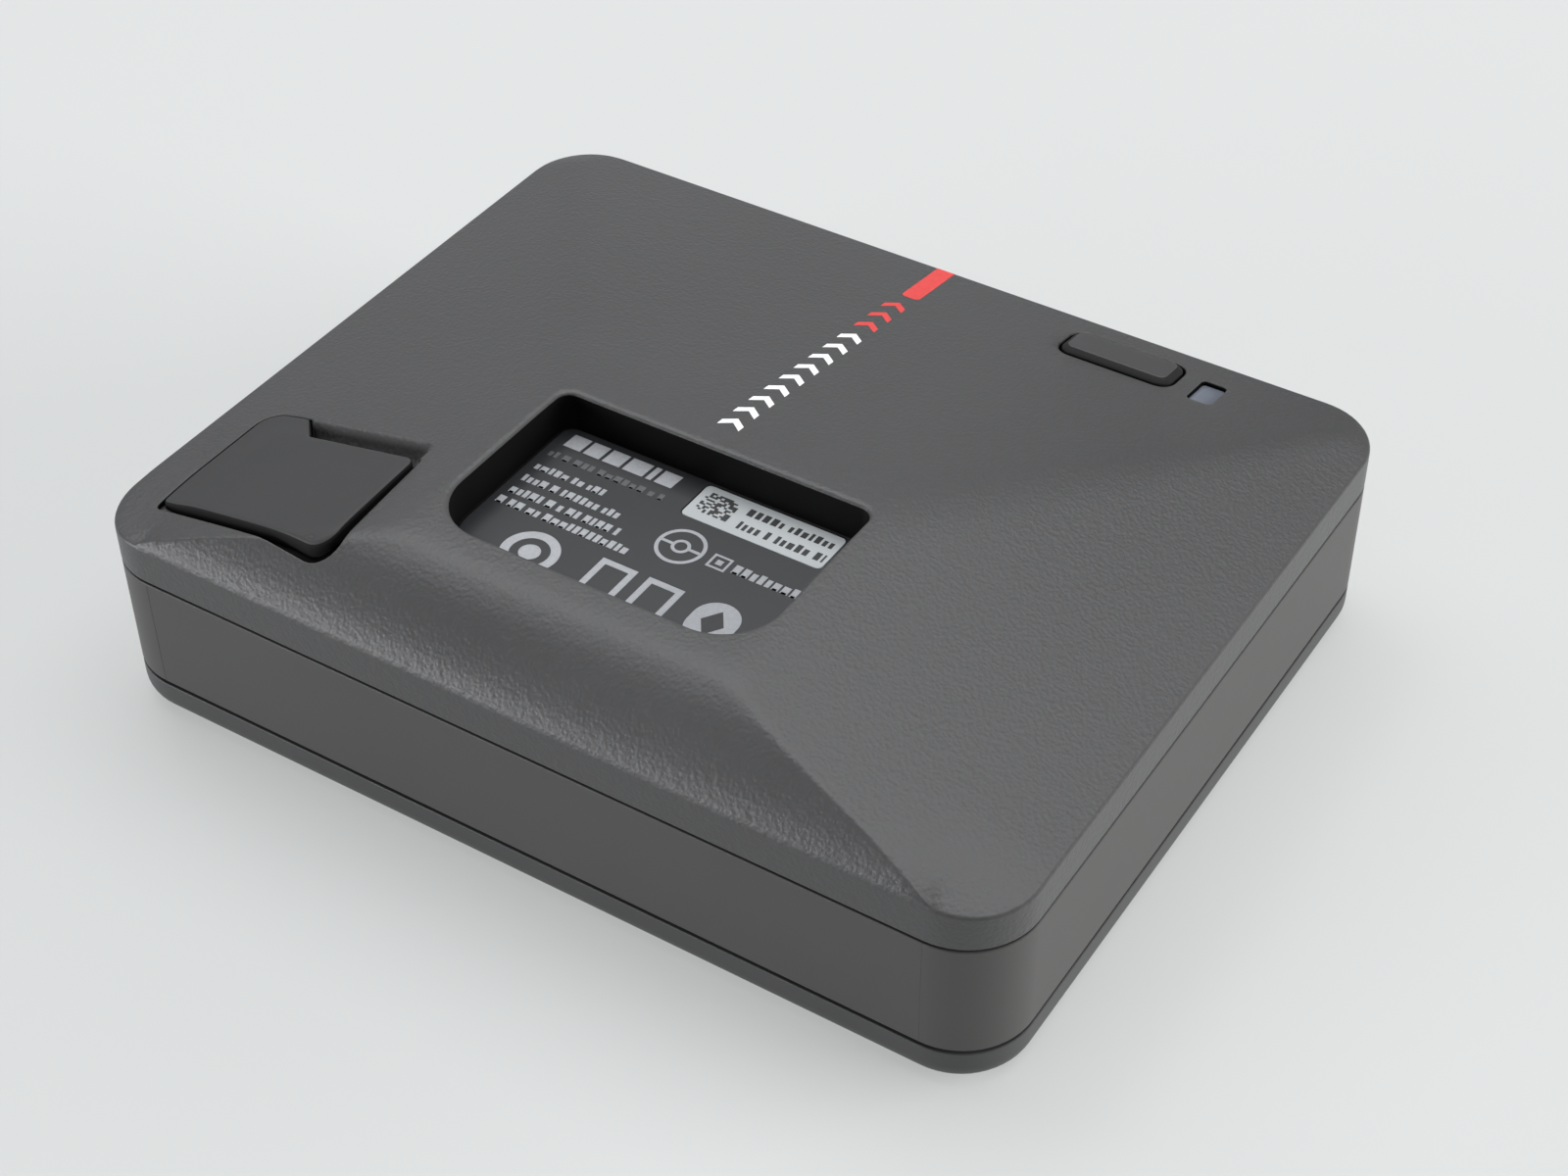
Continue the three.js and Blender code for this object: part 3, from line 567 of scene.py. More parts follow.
SLOT_MATS = dict(
    circuit_board=BOARD, chip_epoxy=CHIP, gold_plate=GOLD, tinned_steel=TIN, steel=STEEL, screw_steel=STEEL,
    brass_insert=BRASS, magnet_nickel=NICKEL, battery_foil=FOIL, foam=FOAM, tape=TAPE, connector_plastic=NYLON,
    flex_film=FLEX, wire_red=WIRER, wire_black=WIREB, black_plastic=BLACKP, ferrite=FERRITE, led_body=EPOXY,
    seal_black=SEAL, cover_plastic=COVER, frame_plastic=BAND, radome=RADOME, flap_rubber=FLAPM,
    button_plastic=BUTTONM, light_pipe=WINDOWM, label_film=LABELM, paper_white=PAPER)
slot_of = {s["node"]: s["material_slot"] for s in frame["record"]["subparts"]}
for name, o in frame["nodes"].items():
    m = SLOT_MATS[slot_of[name]]
    if not o.material_slots:
        o.data.materials.append(m)
    for s in o.material_slots:
        s.material = m


def piece(o, body, slot, *nodes):
    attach(o, body)
    if nodes:
        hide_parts(*nodes)
    return o


# ------------------------------------------------------------------------------------------------------------------
# back cover
# ------------------------------------------------------------------------------------------------------------------
SEAT_POLY = [(-39.98, -31.20), (-19.60, -32.50), (-20.80, -18.35), (-33.00, -18.42), (-35.22, -15.98), (-39.98, -15.98)]
SEAT_RAD = [0.6, 2.3, 0.5, 0.25, 0.3, 2.3]
FLAP_POLY = [(-39.85, -30.40), (-20.48, -31.60), (-21.04, -18.72), (-33.10, -18.55), (-35.32, -16.10), (-39.85, -16.10)]
FLAP_RAD = [0.5, 1.9, 1.1, 0.3, 0.4, 2.2]
PORT = (-30.5, -24.6)
WELL = rect(PORT[0] - 4.4, PORT[0] + 4.4, PORT[1] - 1.95, PORT[1] + 1.95)
LEGS = (-24.0, -18.6)
SCREWS = [(sx * 38.0, sy * 29.1) for sx in (-1, 1) for sy in (-1, 1)]


def box_loop(x0, x1, y0, y1):
    return np.array([(x0, y0), (x1, y0), (x1, y1), (x0, y1)], float)


def circle(x, y, r, n=32):
    a = np.arange(n) * 2 * math.pi / n
    return np.column_stack([x + r * np.cos(a), y + r * np.sin(a)])


def turned(b, x, y, profile, mat=0, n=32, close=True):
    """Closed body turned about a vertical axis. The profile (radius, z) runs down the outside and up the inside."""
    rings = [b.ring(circle(x, y, r, n), z) for r, z in profile]
    for p, q in zip(rings, rings[1:]):
        b.bridge(p, q, mat)
    if close:
        b.bridge(rings[-1], rings[0], mat)
    return rings


def block(b, x0, x1, y0, y1, z0, z1, mat=0, r=0.0):
    """Closed upright block, with its upper edges rounded by r when it is given."""
    if r:
        lo = b.ring(rounded(rect(x0, x1, y0, y1), r, 0, 3, 3.0), z0)
        rings = [b.ring(rounded(rect(x0, x1, y0, y1), r, -o, 3, 3.0), z1 - d) for o, d in
                 [(r * 0.5 * (1 - math.cos(a)), r * 0.5 * (1 - math.sin(a))) for a in (math.pi / 2, math.pi / 4, 0)]][::-1]
        rings = [b.ring(rounded(rect(x0, x1, y0, y1), r, -r * 0.5, 3, 3.0), z1), b.ring(rounded(rect(x0, x1, y0, y1), r, -r * 0.15, 3, 3.0), z1 - r * 0.15),
                 b.ring(rounded(rect(x0, x1, y0, y1), r, 0, 3, 3.0), z1 - r * 0.5), lo]
    else:
        rings = [b.ring(box_loop(x0, x1, y0, y1), z1), b.ring(box_loop(x0, x1, y0, y1), z0)]
    for p, q in zip(rings, rings[1:]):
        b.bridge(p, q, mat)
    b.f.append(tuple(rings[0]))
    b.m.append(mat)
    b.f.append(tuple(rings[-1][::-1]))
    b.m.append(mat)


def back_cover():
    b = Build()
    r_out, r_pocket, r_seat, r_btn, r_led = 0.26, 0.32, 0.14, 0.16, 0.12

    def opening(loop_fn, r, n, wide=None):
        """Rings round an opening, from its rounded lip on the surface to the top of its wall."""
        rings = []
        for o, d in fillet(r, n):
            L = loop_fn(o)
            if wide:
                L = L + wide(L) * (o / r)
            rings.append(b.ring(L, top_z(L[:, 0], L[:, 1]) - d))
        for p, q in zip(rings, rings[1:]):
            b.bridge(q, p, 0)
        return rings[0], rings[-1]

    out_rings = []
    for o, d in fillet(r_out, 5):
        L = outline(o)
        out_rings.append(b.ring(L, top_z(L[:, 0], L[:, 1]) - d))
    for p, q in zip(out_rings, out_rings[1:]):
        b.bridge(p, q)
    L0 = outline(0)
    wall = [b.ring(L0, COVER_Z + 0.14)]
    b.bridge(out_rings[-1], wall[0])
    for a in (30, 60, 90):
        s = math.radians(a)
        wall.append(b.ring(outline(0.14 * (1 - math.cos(s))), COVER_Z + 0.14 * (1 - math.sin(s))))
    for p, q in zip(wall, wall[1:]):
        b.bridge(p, q)
    LI = outline(WALL)
    foot = b.ring(LI, COVER_Z)
    b.bridge(wall[-1], foot)
    under = lambda x, y, s=SKIN: base_z(x, y) - s
    ceil_out = b.ring(LI, np.maximum(under(LI[:, 0], LI[:, 1]), COVER_Z + 1))
    b.bridge(foot, ceil_out)

    pocket_fn = lambda o: rounded(rect(*POCKET), POCKET_RAD, o, 14, 1.2)
    seat_fn = lambda o: rounded(SEAT_POLY, SEAT_RAD, o, 8, 0.8)
    btn_fn = lambda o: rounded(rect(BTN["x"] - 5.75, BTN["x"] + 5.75, BTN["y"] - 2.45, BTN["y"] + 2.45), 1.45, o, 8, 1.0)
    led_fn = lambda o: rounded(rect(LED["x"] - LED["w"] / 2 - 0.06, LED["x"] + LED["w"] / 2 + 0.06,
                                    LED["y"] - LED["d"] / 2 - 0.06, LED["y"] + LED["d"] / 2 + 0.06), 0.5, o, 6, 0.7)

    # the pocket's lip is broader on the far and left sides
    def broad(L):
        k = np.clip((L[:, 1] + 16) / 8, 0, 1) * 0.34
        j = np.clip((-10 - L[:, 0]) / 4, 0, 1) * 0.22
        return np.column_stack([-j, k])
    tp, wp = opening(pocket_fn, r_pocket, 8, broad)
    ts, ws = opening(seat_fn, r_seat, 4)
    tb, wb = opening(btn_fn, r_btn, 4)
    tl, wl = opening(led_fn, r_led, 3)

    # points of the outer skin: an even scatter, rows over the crowned near facet, and lines along the creases
    pts = [scatter(-HX, HX, -HY + 8, HY, 1.25)]
    for y in np.arange(-HY + 0.5, -HY + 9, 0.42):
        pts.append(np.array([(x, y) for x in np.arange(-43.5, 43.6, 1.0)]))
    xs = np.arange(10.5, 39.5, 0.55)
    for e in (-0.9, -0.5, -0.25, -0.11, 0, 0.11, 0.25, 0.5, 0.9, 1.6, 2.4):
        y = crease_f(xs)
        for s in (-1, 1):
            pts.append(np.column_stack([s * (xs + e * 0.29), y + e * 0.957]))
    xs = np.arange(-35.3, -20.0, 0.42)
    for y in np.arange(-18.2, -15.2, 0.2):
        pts.append(np.column_stack([xs, np.full(len(xs), y)]))
    ys = np.arange(-18.3, -15.7, 0.16)
    for k in (-0.02, 0.08, 0.16, 0.26):
        pts.append(np.column_stack([np.interp(-ys, [15.98, 18.42], [-35.22, -33.0]) + k, ys]))
    for k in (0.0, -0.14, -0.28, -0.42, -0.55, -0.7):
        pts.append(np.column_stack([-21.0 - np.clip((ys + 17.2) * 0.55, 0, 9) + k, ys]))
    pts = np.vstack(pts)
    key = np.round(pts / 0.09).astype(int)
    _, first = np.unique(key, axis=0, return_index=True)
    pts = pts[np.sort(first)]
    ok = inside(outline(r_out + 0.35), pts)
    for fn, r in ((pocket_fn, r_pocket), (seat_fn, r_seat), (btn_fn, r_btn), (led_fn, r_led)):
        ok &= ~inside(fn(r + 0.10), pts)
    lip = np.array([b.v[i][:2] for i in tp])
    ok &= ~inside(lip, pts) & ~near_poly(lip, pts, 0.12)
    pts = pts[ok]
    b.fill([out_rings[0], tp, ts, tb, tl], pts, top_z, True)

    # pocket: wall down to the floor with a small round, then the floor, all near-black: painted shade of the recess on
    # the cover's own plastic
    rings = [wp]
    for o, z in ((0, 24.0), (0, 23.0), (0, POCKET_FLOOR + 0.2), (-0.06, POCKET_FLOOR + 0.06), (-0.2, POCKET_FLOOR)):
        L = pocket_fn(o)
        lip = top_z(L[:, 0], L[:, 1]) - r_pocket
        rings.append(b.ring(L, np.minimum(z, lip - 0.05) if z > 22.5 else z))
    for p, q in zip(rings, rings[1:]):
        b.bridge(q, p, 1)
    b.fill([rings[-1]], None, None, True, 1)
    # seat: wall and floor, with the port well and the two slots that the cover's legs pass through, all near-black:
    # painted shade under the rubber cover
    floor_z = lambda x, y: base_z(x, y) - SEAT_DEPTH
    sl = seat_fn(0)
    seat_low = b.ring(sl, floor_z(sl[:, 0], sl[:, 1]))
    b.bridge(seat_low, ws, 1)
    sz = lambda x, y: base_z(x, y) - 2.9
    well_fn = lambda o: rounded(WELL, 1.0, o, 6, 1.2)
    holes = []
    wf = well_fn(0.15)
    well_top = b.ring(wf, floor_z(wf[:, 0], wf[:, 1]))
    wf = well_fn(0.0)
    well_mid = b.ring(wf, floor_z(wf[:, 0], wf[:, 1]) - 0.15)
    well_low = b.ring(wf, sz(wf[:, 0], wf[:, 1]))
    b.bridge(well_mid, well_top, 1)
    b.bridge(well_low, well_mid, 1)
    holes.append((well_top, well_low))
    for y in LEGS:
        L = rounded(rect(-39.62, -38.75, y - 1.3, y + 1.3), 0.2, 0, 3, 1.0)
        t = b.ring(L, floor_z(L[:, 0], L[:, 1]))
        u = b.ring(L, sz(L[:, 0], L[:, 1]))
        b.bridge(u, t, 1)
        holes.append((t, u))
    p = scatter(-39.5, -21, -31.2, -16, 1.3)
    p = p[inside(seat_fn(-0.4), p) & ~inside(well_fn(0.5), p) & ~((p[:, 0] < -38.3) & (p[:, 1] > -26.0))]
    b.fill([seat_low] + [t for t, _ in holes], p, floor_z, True, 1)

    # inner skin, facing down, with the undersides of the pocket and the seat standing below it
    pb = rounded(rect(POCKET[0] - 1.5, POCKET[1] + 1.5, POCKET[2] - 1.5, POCKET[3] + 1.5), [6.8, 6.8, 3.0, 3.0], 0, 8, 2.0)
    ip = b.ring(pb, under(pb[:, 0], pb[:, 1]))
    il = b.ring(pb, POCKET_FLOOR - 1.5)
    b.bridge(ip, il)
    b.fill([il], None, None, False)
    sb = rounded(rect(-41.0, -18.9, -33.15, -14.7), 2.2, 0, 6, 2.0)
    su = b.ring(sb, under(sb[:, 0], sb[:, 1]))
    slow = b.ring(sb, sz(sb[:, 0], sb[:, 1]))
    b.bridge(su, slow)
    p = scatter(-40.5, -20, -32.2, -15.2, 2.0)
    p = p[inside(sb, p) & ~near_poly(sb, p, 0.4) & ~inside(well_fn(0.5), p) & ~((p[:, 0] < -38.3) & (p[:, 1] > -26.0))]
    b.fill([slow] + [u for _, u in holes], p, sz, False)
    bf, lf = btn_fn(0), led_fn(0)
    bi = b.ring(bf, under(bf[:, 0], bf[:, 1], 1.3))
    li = b.ring(lf, under(lf[:, 0], lf[:, 1]))
    # the walls of the button and light-window holes are near-black too: painted shade in the gaps
    b.bridge(bi, wb, 1)
    b.bridge(li, wl, 1)
    p = scatter(-42, 42, -33, 33, 2.6)
    ok = inside(outline(WALL + 0.6), p) & ~inside(pb, p) & ~inside(sb, p) & ~near_poly(pb, p, 0.5) & ~near_poly(sb, p, 0.5)
    ok &= ~inside(btn_fn(0.8), p) & ~inside(led_fn(0.6), p)
    b.fill([ceil_out, ip, su, bi, li], p[ok], lambda x, y: base_z(x, y) - SKIN, False)
    # corner bosses with blind holes for the inserts
    for x, y in SCREWS:
        top = float(base_z(x, y)) - 1.2
        rings = turned(b, x, y, [(2.7, top), (2.7, 14.72), (2.58, 14.6), (1.75, 14.6), (1.6, 14.75), (1.6, 17.75)], 0, 32, False)
        b.f.append(tuple(rings[0]))
        b.m.append(0)
        b.f.append(tuple(rings[-1][::-1]))
        b.m.append(0)
    o = b.object("back_cover_shell", [COVER, RECESS_SHADE])
    return piece(o, "case", "cover_plastic", "back_cover")


cover = back_cover()


# ------------------------------------------------------------------------------------------------------------------
# mid frame: the band, with the parting lines of its mould, and the chassis inside it
# ------------------------------------------------------------------------------------------------------------------
def band():
    b = Build()
    r = 0.14
    prof = [(WALL, FRAME_Z + 0.0), (WALL, FRAME_TOP)]
    prof += [(r * (1 - math.cos(a)), FRAME_TOP - r * (1 - math.sin(a))) for a in np.linspace(math.pi / 2, 0, 4)]
    prof += [(0, z) for z in (12.0, 9.5, 7.0)]
    prof += [(r * (1 - math.cos(a)), FRAME_Z + r * (1 - math.sin(a))) for a in np.linspace(0, math.pi / 2, 4)]
    rings = [b.ring(outline(i), z) for i, z in prof]
    for p, q in zip(rings, rings[1:] + rings[:1]):
        b.bridge(p, q)
    # witness lines where the corner slides of the mould met, a few hundredths proud
    for sx in (-1, 1):
        for sy in (-1, 1):
            x, y = sx * (HX - CORNER), sy * HY
            c = [(x - 0.045, y - sy * 0.02), (x, y + sy * 0.018), (x + 0.045, y - sy * 0.02)]
            if sy > 0:
                c = c[::-1]
            lo = b.add([(px, py, FRAME_Z + r) for px, py in c])
            hi = b.add([(px, py, FRAME_TOP - r) for px, py in c])
            for k in range(3):
                j = (k + 1) % 3
                b.f.append((hi[k], lo[k], lo[j], hi[j]))
                b.m.append(0)
            b.f += [tuple(hi), tuple(lo[::-1])]
            b.m += [0, 0]
    o = b.object("mid_frame_band", [BAND])
    return piece(o, "case", "frame_plastic", "mid_frame")


def chassis():
    b = Build()
    z0, z1 = 7.0, 7.8
    L = outline(WALL - 0.15, 8, 4.0)
    shield = rounded(rect(-13.5, 13.5, -11.5, 11.5), 1.5, 0, 5, 4.0)
    cable = rounded(rect(27, 33, -6, 6), 1.0, 0, 4, 4.0)
    rings = {}
    for k, z in ((1, z1), (0, z0)):
        rings[k] = [b.ring(q, z) for q in (L, shield, cable)]
    b.fill(rings[1], None, None, True)
    b.fill(rings[0], None, None, False)
    b.bridge(rings[1][0], rings[0][0])
    b.bridge(rings[0][1], rings[1][1])
    b.bridge(rings[0][2], rings[1][2])
    for x, y in SCREWS:
        turned(b, x, y, [(2.9, 14.4), (3.0, 14.3), (3.0, FRAME_Z), (2.2, FRAME_Z), (2.2, 6.4), (1.25, 6.4), (1.25, 14.4)], 0, 32)
        sx, sy = math.copysign(1, x), math.copysign(1, y)
        block(b, min(x + sx * 2.6, sx * 42.6), max(x + sx * 2.6, sx * 42.6), y - 0.7, y + 0.7, FRAME_Z, 14.4)
        block(b, x - 0.7, x + 0.7, min(y + sy * 2.6, sy * 33.7), max(y + sy * 2.6, sy * 33.7), FRAME_Z, 14.4)
    for x, y in ((-22, -28), (22, -28), (-22, 28), (10, 28)):
        turned(b, x, y, [(2.1, 14.87), (2.2, 14.77), (2.2, 9.0), (2.9, 7.79), (0.95, 7.79), (0.95, 14.87)], 0, 24)
    for x, y in ((-22.5, -17.5), (22.5, 17.5)):
        turned(b, x, y, [(1.9, 7.01), (1.9, 5.43), (0.8, 5.43), (0.8, 7.01)], 0, 24)
    # stiffening ribs on the plate, clear of the battery and the shield
    for x in (-38.5, 38.5):
        block(b, x - 0.5, x + 0.5, -24, 24, 7.79, 8.6)
    o = b.object("chassis_plate", [BAND])
    return piece(o, "case", "frame_plastic", "mid_frame")


def front_cover():
    b = Build()
    r = 0.12
    prof = [(WALL + 0.3, 1.6), (WALL, 1.9), (WALL, FRONT_TOP)]
    prof += [(r * (1 - math.cos(a)), FRONT_TOP - r * (1 - math.sin(a))) for a in np.linspace(math.pi / 2, 0, 4)]
    prof += [(FOOT_R * (1 - math.cos(a)), FOOT_R * (1 - math.sin(a))) for a in np.linspace(0, math.pi / 2, 10)]
    rings = [b.ring(outline(i), z) for i, z in prof]
    for p, q in zip(rings, rings[1:]):
        b.bridge(p, q)
    b.fill([rings[-1]], None, None, False)
    b.fill([rings[0]], None, None, True)
    o = b.object("front_cover_shell", [RADOME])
    return piece(o, "case", "radome", "front_cover")


band()
chassis()
front_cover()


# ------------------------------------------------------------------------------------------------------------------
# weather cover of the charging port: one rubber moulding whose left strip stays in the case
# ------------------------------------------------------------------------------------------------------------------
def flap_surface(x, y):
    """Upper skin of the rubber cover: it follows the facets, softened over the crease, and stands a little proud."""
    x, y = np.asarray(x, float), np.asarray(y, float)
    ax = np.abs(x)
    e = (y - crease_f(ax)) * 0.957
    foot = np.clip(ax - e * 0.29, 0, 60)
    dip = dip_f(foot) * np.clip(1 - np.clip(e, 0, None) / 10.0, 0, 1) ** 2
    side = RIM + SIDE_SLOPE * (HX - ax) - dip
    nz = RIM + near_f(np.clip(y + HY, 0, 60))
    t = np.clip((x + 38.9) / 3.4, 0, 1)
    proud = 0.04 + 0.26 * t * t * (3 - 2 * t)
    u = np.clip((y + 17.2) / -1.8, 0, 1)
    proud = 0.04 + (proud - 0.04) * (0.25 + 0.75 * u)
    return smin(side, nz, 0.9) + proud + 0.10


def port_flap():
    b = Build()
    fn = lambda o: rounded(FLAP_POLY, FLAP_RAD, o, 8, 0.7)
    r = 0.42
    rings = []
    for o, d in fillet(r, 6):
        L = fn(-o)
        rings.append(b.ring(L, flap_surface(L[:, 0], L[:, 1]) - d))
    # the lower lip rings and the sides below them take the near-black side material: painted shade in the seat gap
    for k, (p, q) in enumerate(zip(rings, rings[1:])):
        b.bridge(p, q, 1 if k > 2 else 0)
    L = fn(0)
    low = b.ring(L, base_z(L[:, 0], L[:, 1]) - 0.95)
    b.bridge(rings[-1], low, 1)
    L = fn(-0.15)
    low2 = b.ring(L, base_z(L[:, 0], L[:, 1]) - 1.1)
    b.bridge(low, low2, 1)
    p = scatter(-39.8, -21.5, -31, -16.2, 0.62)
    q = p[inside(fn(-r - 0.22), p)]
    b.fill([rings[0]], q, flap_surface, True)
    groove = lambda x, y: base_z(x, y) - 1.1 + 0.45 * np.exp(-((x + 38.42) / 0.32) ** 2)
    q = p[inside(fn(-0.5), p)]
    extra = np.array([(x, y) for x in (-38.9, -38.66, -38.42, -38.18, -37.94) for y in np.arange(-30.4, -16.6, 0.62)])
    key = np.linalg.norm(q[:, None, :] - extra[None, :, :], axis=2).min(1)
    q = np.vstack([q[key > 0.3], extra])
    b.fill([low2], q, groove, False)
    # stopper that plugs the port's well, with a bead near its end
    w = rect(PORT[0] - 4.0, PORT[0] + 4.0, PORT[1] - 1.55, PORT[1] + 1.55)
    st = lambda o: rounded(w, 0.85, o, 6, 1.2)
    prof = [(-0.02, 21.6), (-0.02, 20.75), (0.05, 20.65), (0.05, 20.5), (-0.06, 20.38), (-0.14, 20.15), (-0.26, 20.05)]
    rr = []
    for o, z in prof:
        Lq = st(o)
        zz = np.full(len(Lq), z)
        if z > 21:
            zz = np.minimum(zz, base_z(Lq[:, 0], Lq[:, 1]) - 0.6)
        rr.append(b.ring(Lq, zz))
    for p_, q_ in zip(rr, rr[1:]):
        b.bridge(p_, q_)
    b.fill([rr[0]], None, None, True)
    b.fill([rr[-1]], None, None, False)
    # legs that hold the strip in the case, plain blocks reaching below the seat
    for y in LEGS:
        block(b, -39.5, -38.9, y - 1.1, y + 1.1, 16.6, 19.45)
    o = b.object("port_cover_rubber", [FLAPM, FLAP_SIDE_SHADE], math.radians(50))
    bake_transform(o)
    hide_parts("usb_flap", "flap_anchor")
    return o


port_flap()


# ------------------------------------------------------------------------------------------------------------------
# power button and light window
# ------------------------------------------------------------------------------------------------------------------
def button():
    b = Build()
    x, y, w, d = BTN["x"], BTN["y"], BTN["w"], BTN["d"]
    fn = lambda o: rounded(rect(x - w / 2, x + w / 2, y - d / 2, y + d / 2), 1.25, o, 8, 0.8)
    prof = [(-0.78, 0.52), (-0.66, 0.505), (-0.56, 0.46), (-0.22, 0.20), (-0.10, 0.10), (-0.02, 0.0), (0, -0.12)]
    rings = []
    for o, h in prof:
        L = fn(o)
        rings.append(b.ring(L, base_z(L[:, 0], L[:, 1]) + h))
    L = fn(0)
    rings.append(b.ring(L, 17.95))
    # the chamfer and sides below the top take the near-black side material: painted shade in the gap
    for k, (p, q) in enumerate(zip(rings, rings[1:])):
        b.bridge(p, q, 1 if k > 1 else 0)
    p = scatter(x - w / 2, x + w / 2, y - d / 2, y + d / 2, 0.7)
    p = p[inside(fn(-1.0), p)]
    b.fill([rings[0]], p, lambda a, c: base_z(a, c) + 0.52, True)
    b.fill([rings[-1]], None, None, False)
    block(b, x - 6.2, x + 6.2, 28.05, 33.05, 17.32, 17.95)
    o = b.object("power_button_cap", [BUTTONM, BUTTON_SIDE_SHADE], math.radians(50))
    return piece(o, "button", "button_plastic", "power_button")


def window():
    b = Build()
    x, y, w, d = LED["x"], LED["y"], LED["w"], LED["d"]
    fn = lambda o: rounded(rect(x - w / 2, x + w / 2, y - d / 2, y + d / 2), 0.45, o, 6, 0.7)
    rings = []
    for o, h in ((-0.14, -0.42), (-0.04, -0.46), (0, -0.56)):
        L = fn(o)
        rings.append(b.ring(L, base_z(L[:, 0], L[:, 1]) + h))
    for o, z in ((0, 17.05), (-0.1, 16.95)):
        rings.append(b.ring(fn(o), z))
    for p, q in zip(rings, rings[1:]):
        b.bridge(p, q)
    p = scatter(x - w / 2, x + w / 2, y - d / 2, y + d / 2, 0.5)
    p = p[inside(fn(-0.35), p)]
    b.fill([rings[0]], p, lambda a, c: base_z(a, c) - 0.42, True)
    b.fill([rings[-1]], None, None, False)
    o = b.object("light_window_lens", [WINDOWM], math.radians(50))
    return piece(o, "case", "light_pipe", "light_window")


button()
window()


# ------------------------------------------------------------------------------------------------------------------
# label on the pocket floor, and its print
# ------------------------------------------------------------------------------------------------------------------
POCKET_CY = (POCKET[2] + POCKET[3]) / 2
STICKER = (6.35, -7.65, 13.8, 4.45)


def plate(b, loop_fn, z0, z1, r=0.03, holes=(), mat=0):
    """Thin sheet with its upper edge eased."""
    top = b.ring(loop_fn(-r), z1)
    mid = b.ring(loop_fn(0), z1 - r)
    low = b.ring(loop_fn(0), z0)
    b.bridge(top, mid, mat)
    b.bridge(mid, low, mat)
    ht, hl = [], []
    for h in holes:
        t, l = b.ring(h, z1), b.ring(h, z0)
        b.bridge(l, t, mat)
        ht.append(t)
        hl.append(l)
    b.fill([top] + ht, None, None, True, mat)
    b.fill([low] + hl, None, None, False, mat)


def label():
    b = Build()
    w, d = 15.35, 9.75
    sx, sy = STICKER[0], STICKER[1]
    hole = rounded(rect(sx - 7.0, sx + 7.0, sy - 2.325, sy + 2.325), 0.6, 0, 4, 3.0)
    plate(b, lambda o: rounded(rect(-w, w, -24.55, -5.12), [5.0, 5.0, 1.2, 1.2], o, 8, 3.0), POCKET_FLOOR + 0.02, LABEL_Z, 0.03, [hole])
    o = b.object("recess_label_film", [LABELM])
    piece(o, "case", "label_film", "recess_label")
    b = Build()
    plate(b, lambda o: rounded(rect(sx - 6.9, sx + 6.9, sy - 2.225, sy + 2.225), 0.5, o, 5, 3.0), POCKET_FLOOR + 0.02, 21.38, 0.03)
    o = b.object("code_sticker_paper", [PAPER])
    piece(o, "case", "paper_white", "code_sticker")


label()
INK = 0.022


def slab(b, pts, z0, z1, mat=0):
    """Thin flat print: a counter-clockwise polygon raised from z0 to z1."""
    lo = b.add([(p[0], p[1], z0) for p in pts])
    hi = b.add([(p[0], p[1], z1) for p in pts])
    b.f.append(tuple(hi))
    b.m.append(mat)
    for i in range(len(pts)):
        j = (i + 1) % len(pts)
        b.f.append((hi[i], lo[i], lo[j], hi[j]))
        b.m.append(mat)
    b.f.append(tuple(lo[::-1]))
    b.m.append(mat)


def ring_slab(b, x, y, r0, r1, z0, z1, mat=0, n=40, a0=0.0, a1=360.0):
    """Flat ring, or an arc of one."""
    full = abs(a1 - a0) >= 360
    k = n if full else max(4, int(n * abs(a1 - a0) / 360)) + 1
    ang = np.radians(np.linspace(a0, a1, k, endpoint=not full))
    q = lambda r, z: b.add([(x + r * math.cos(a), y + r * math.sin(a), z) for a in ang])
    oh, ol, ih, il = q(r1, z1), q(r1, z0), q(r0, z1), q(r0, z0)
    for p, s in ((oh, ol), (ol, il), (il, ih), (ih, oh)):
        b.bridge(p, s, mat, full)
    if not full:
        b.f += [(oh[0], ih[0], il[0], ol[0]), (ol[-1], il[-1], ih[-1], oh[-1])]
        b.m += [mat, mat]


def bar(b, x0, x1, y0, y1, z0, z1, mat=0):
    slab(b, [(x0, y0), (x1, y0), (x1, y1), (x0, y1)], z0, z1, mat)


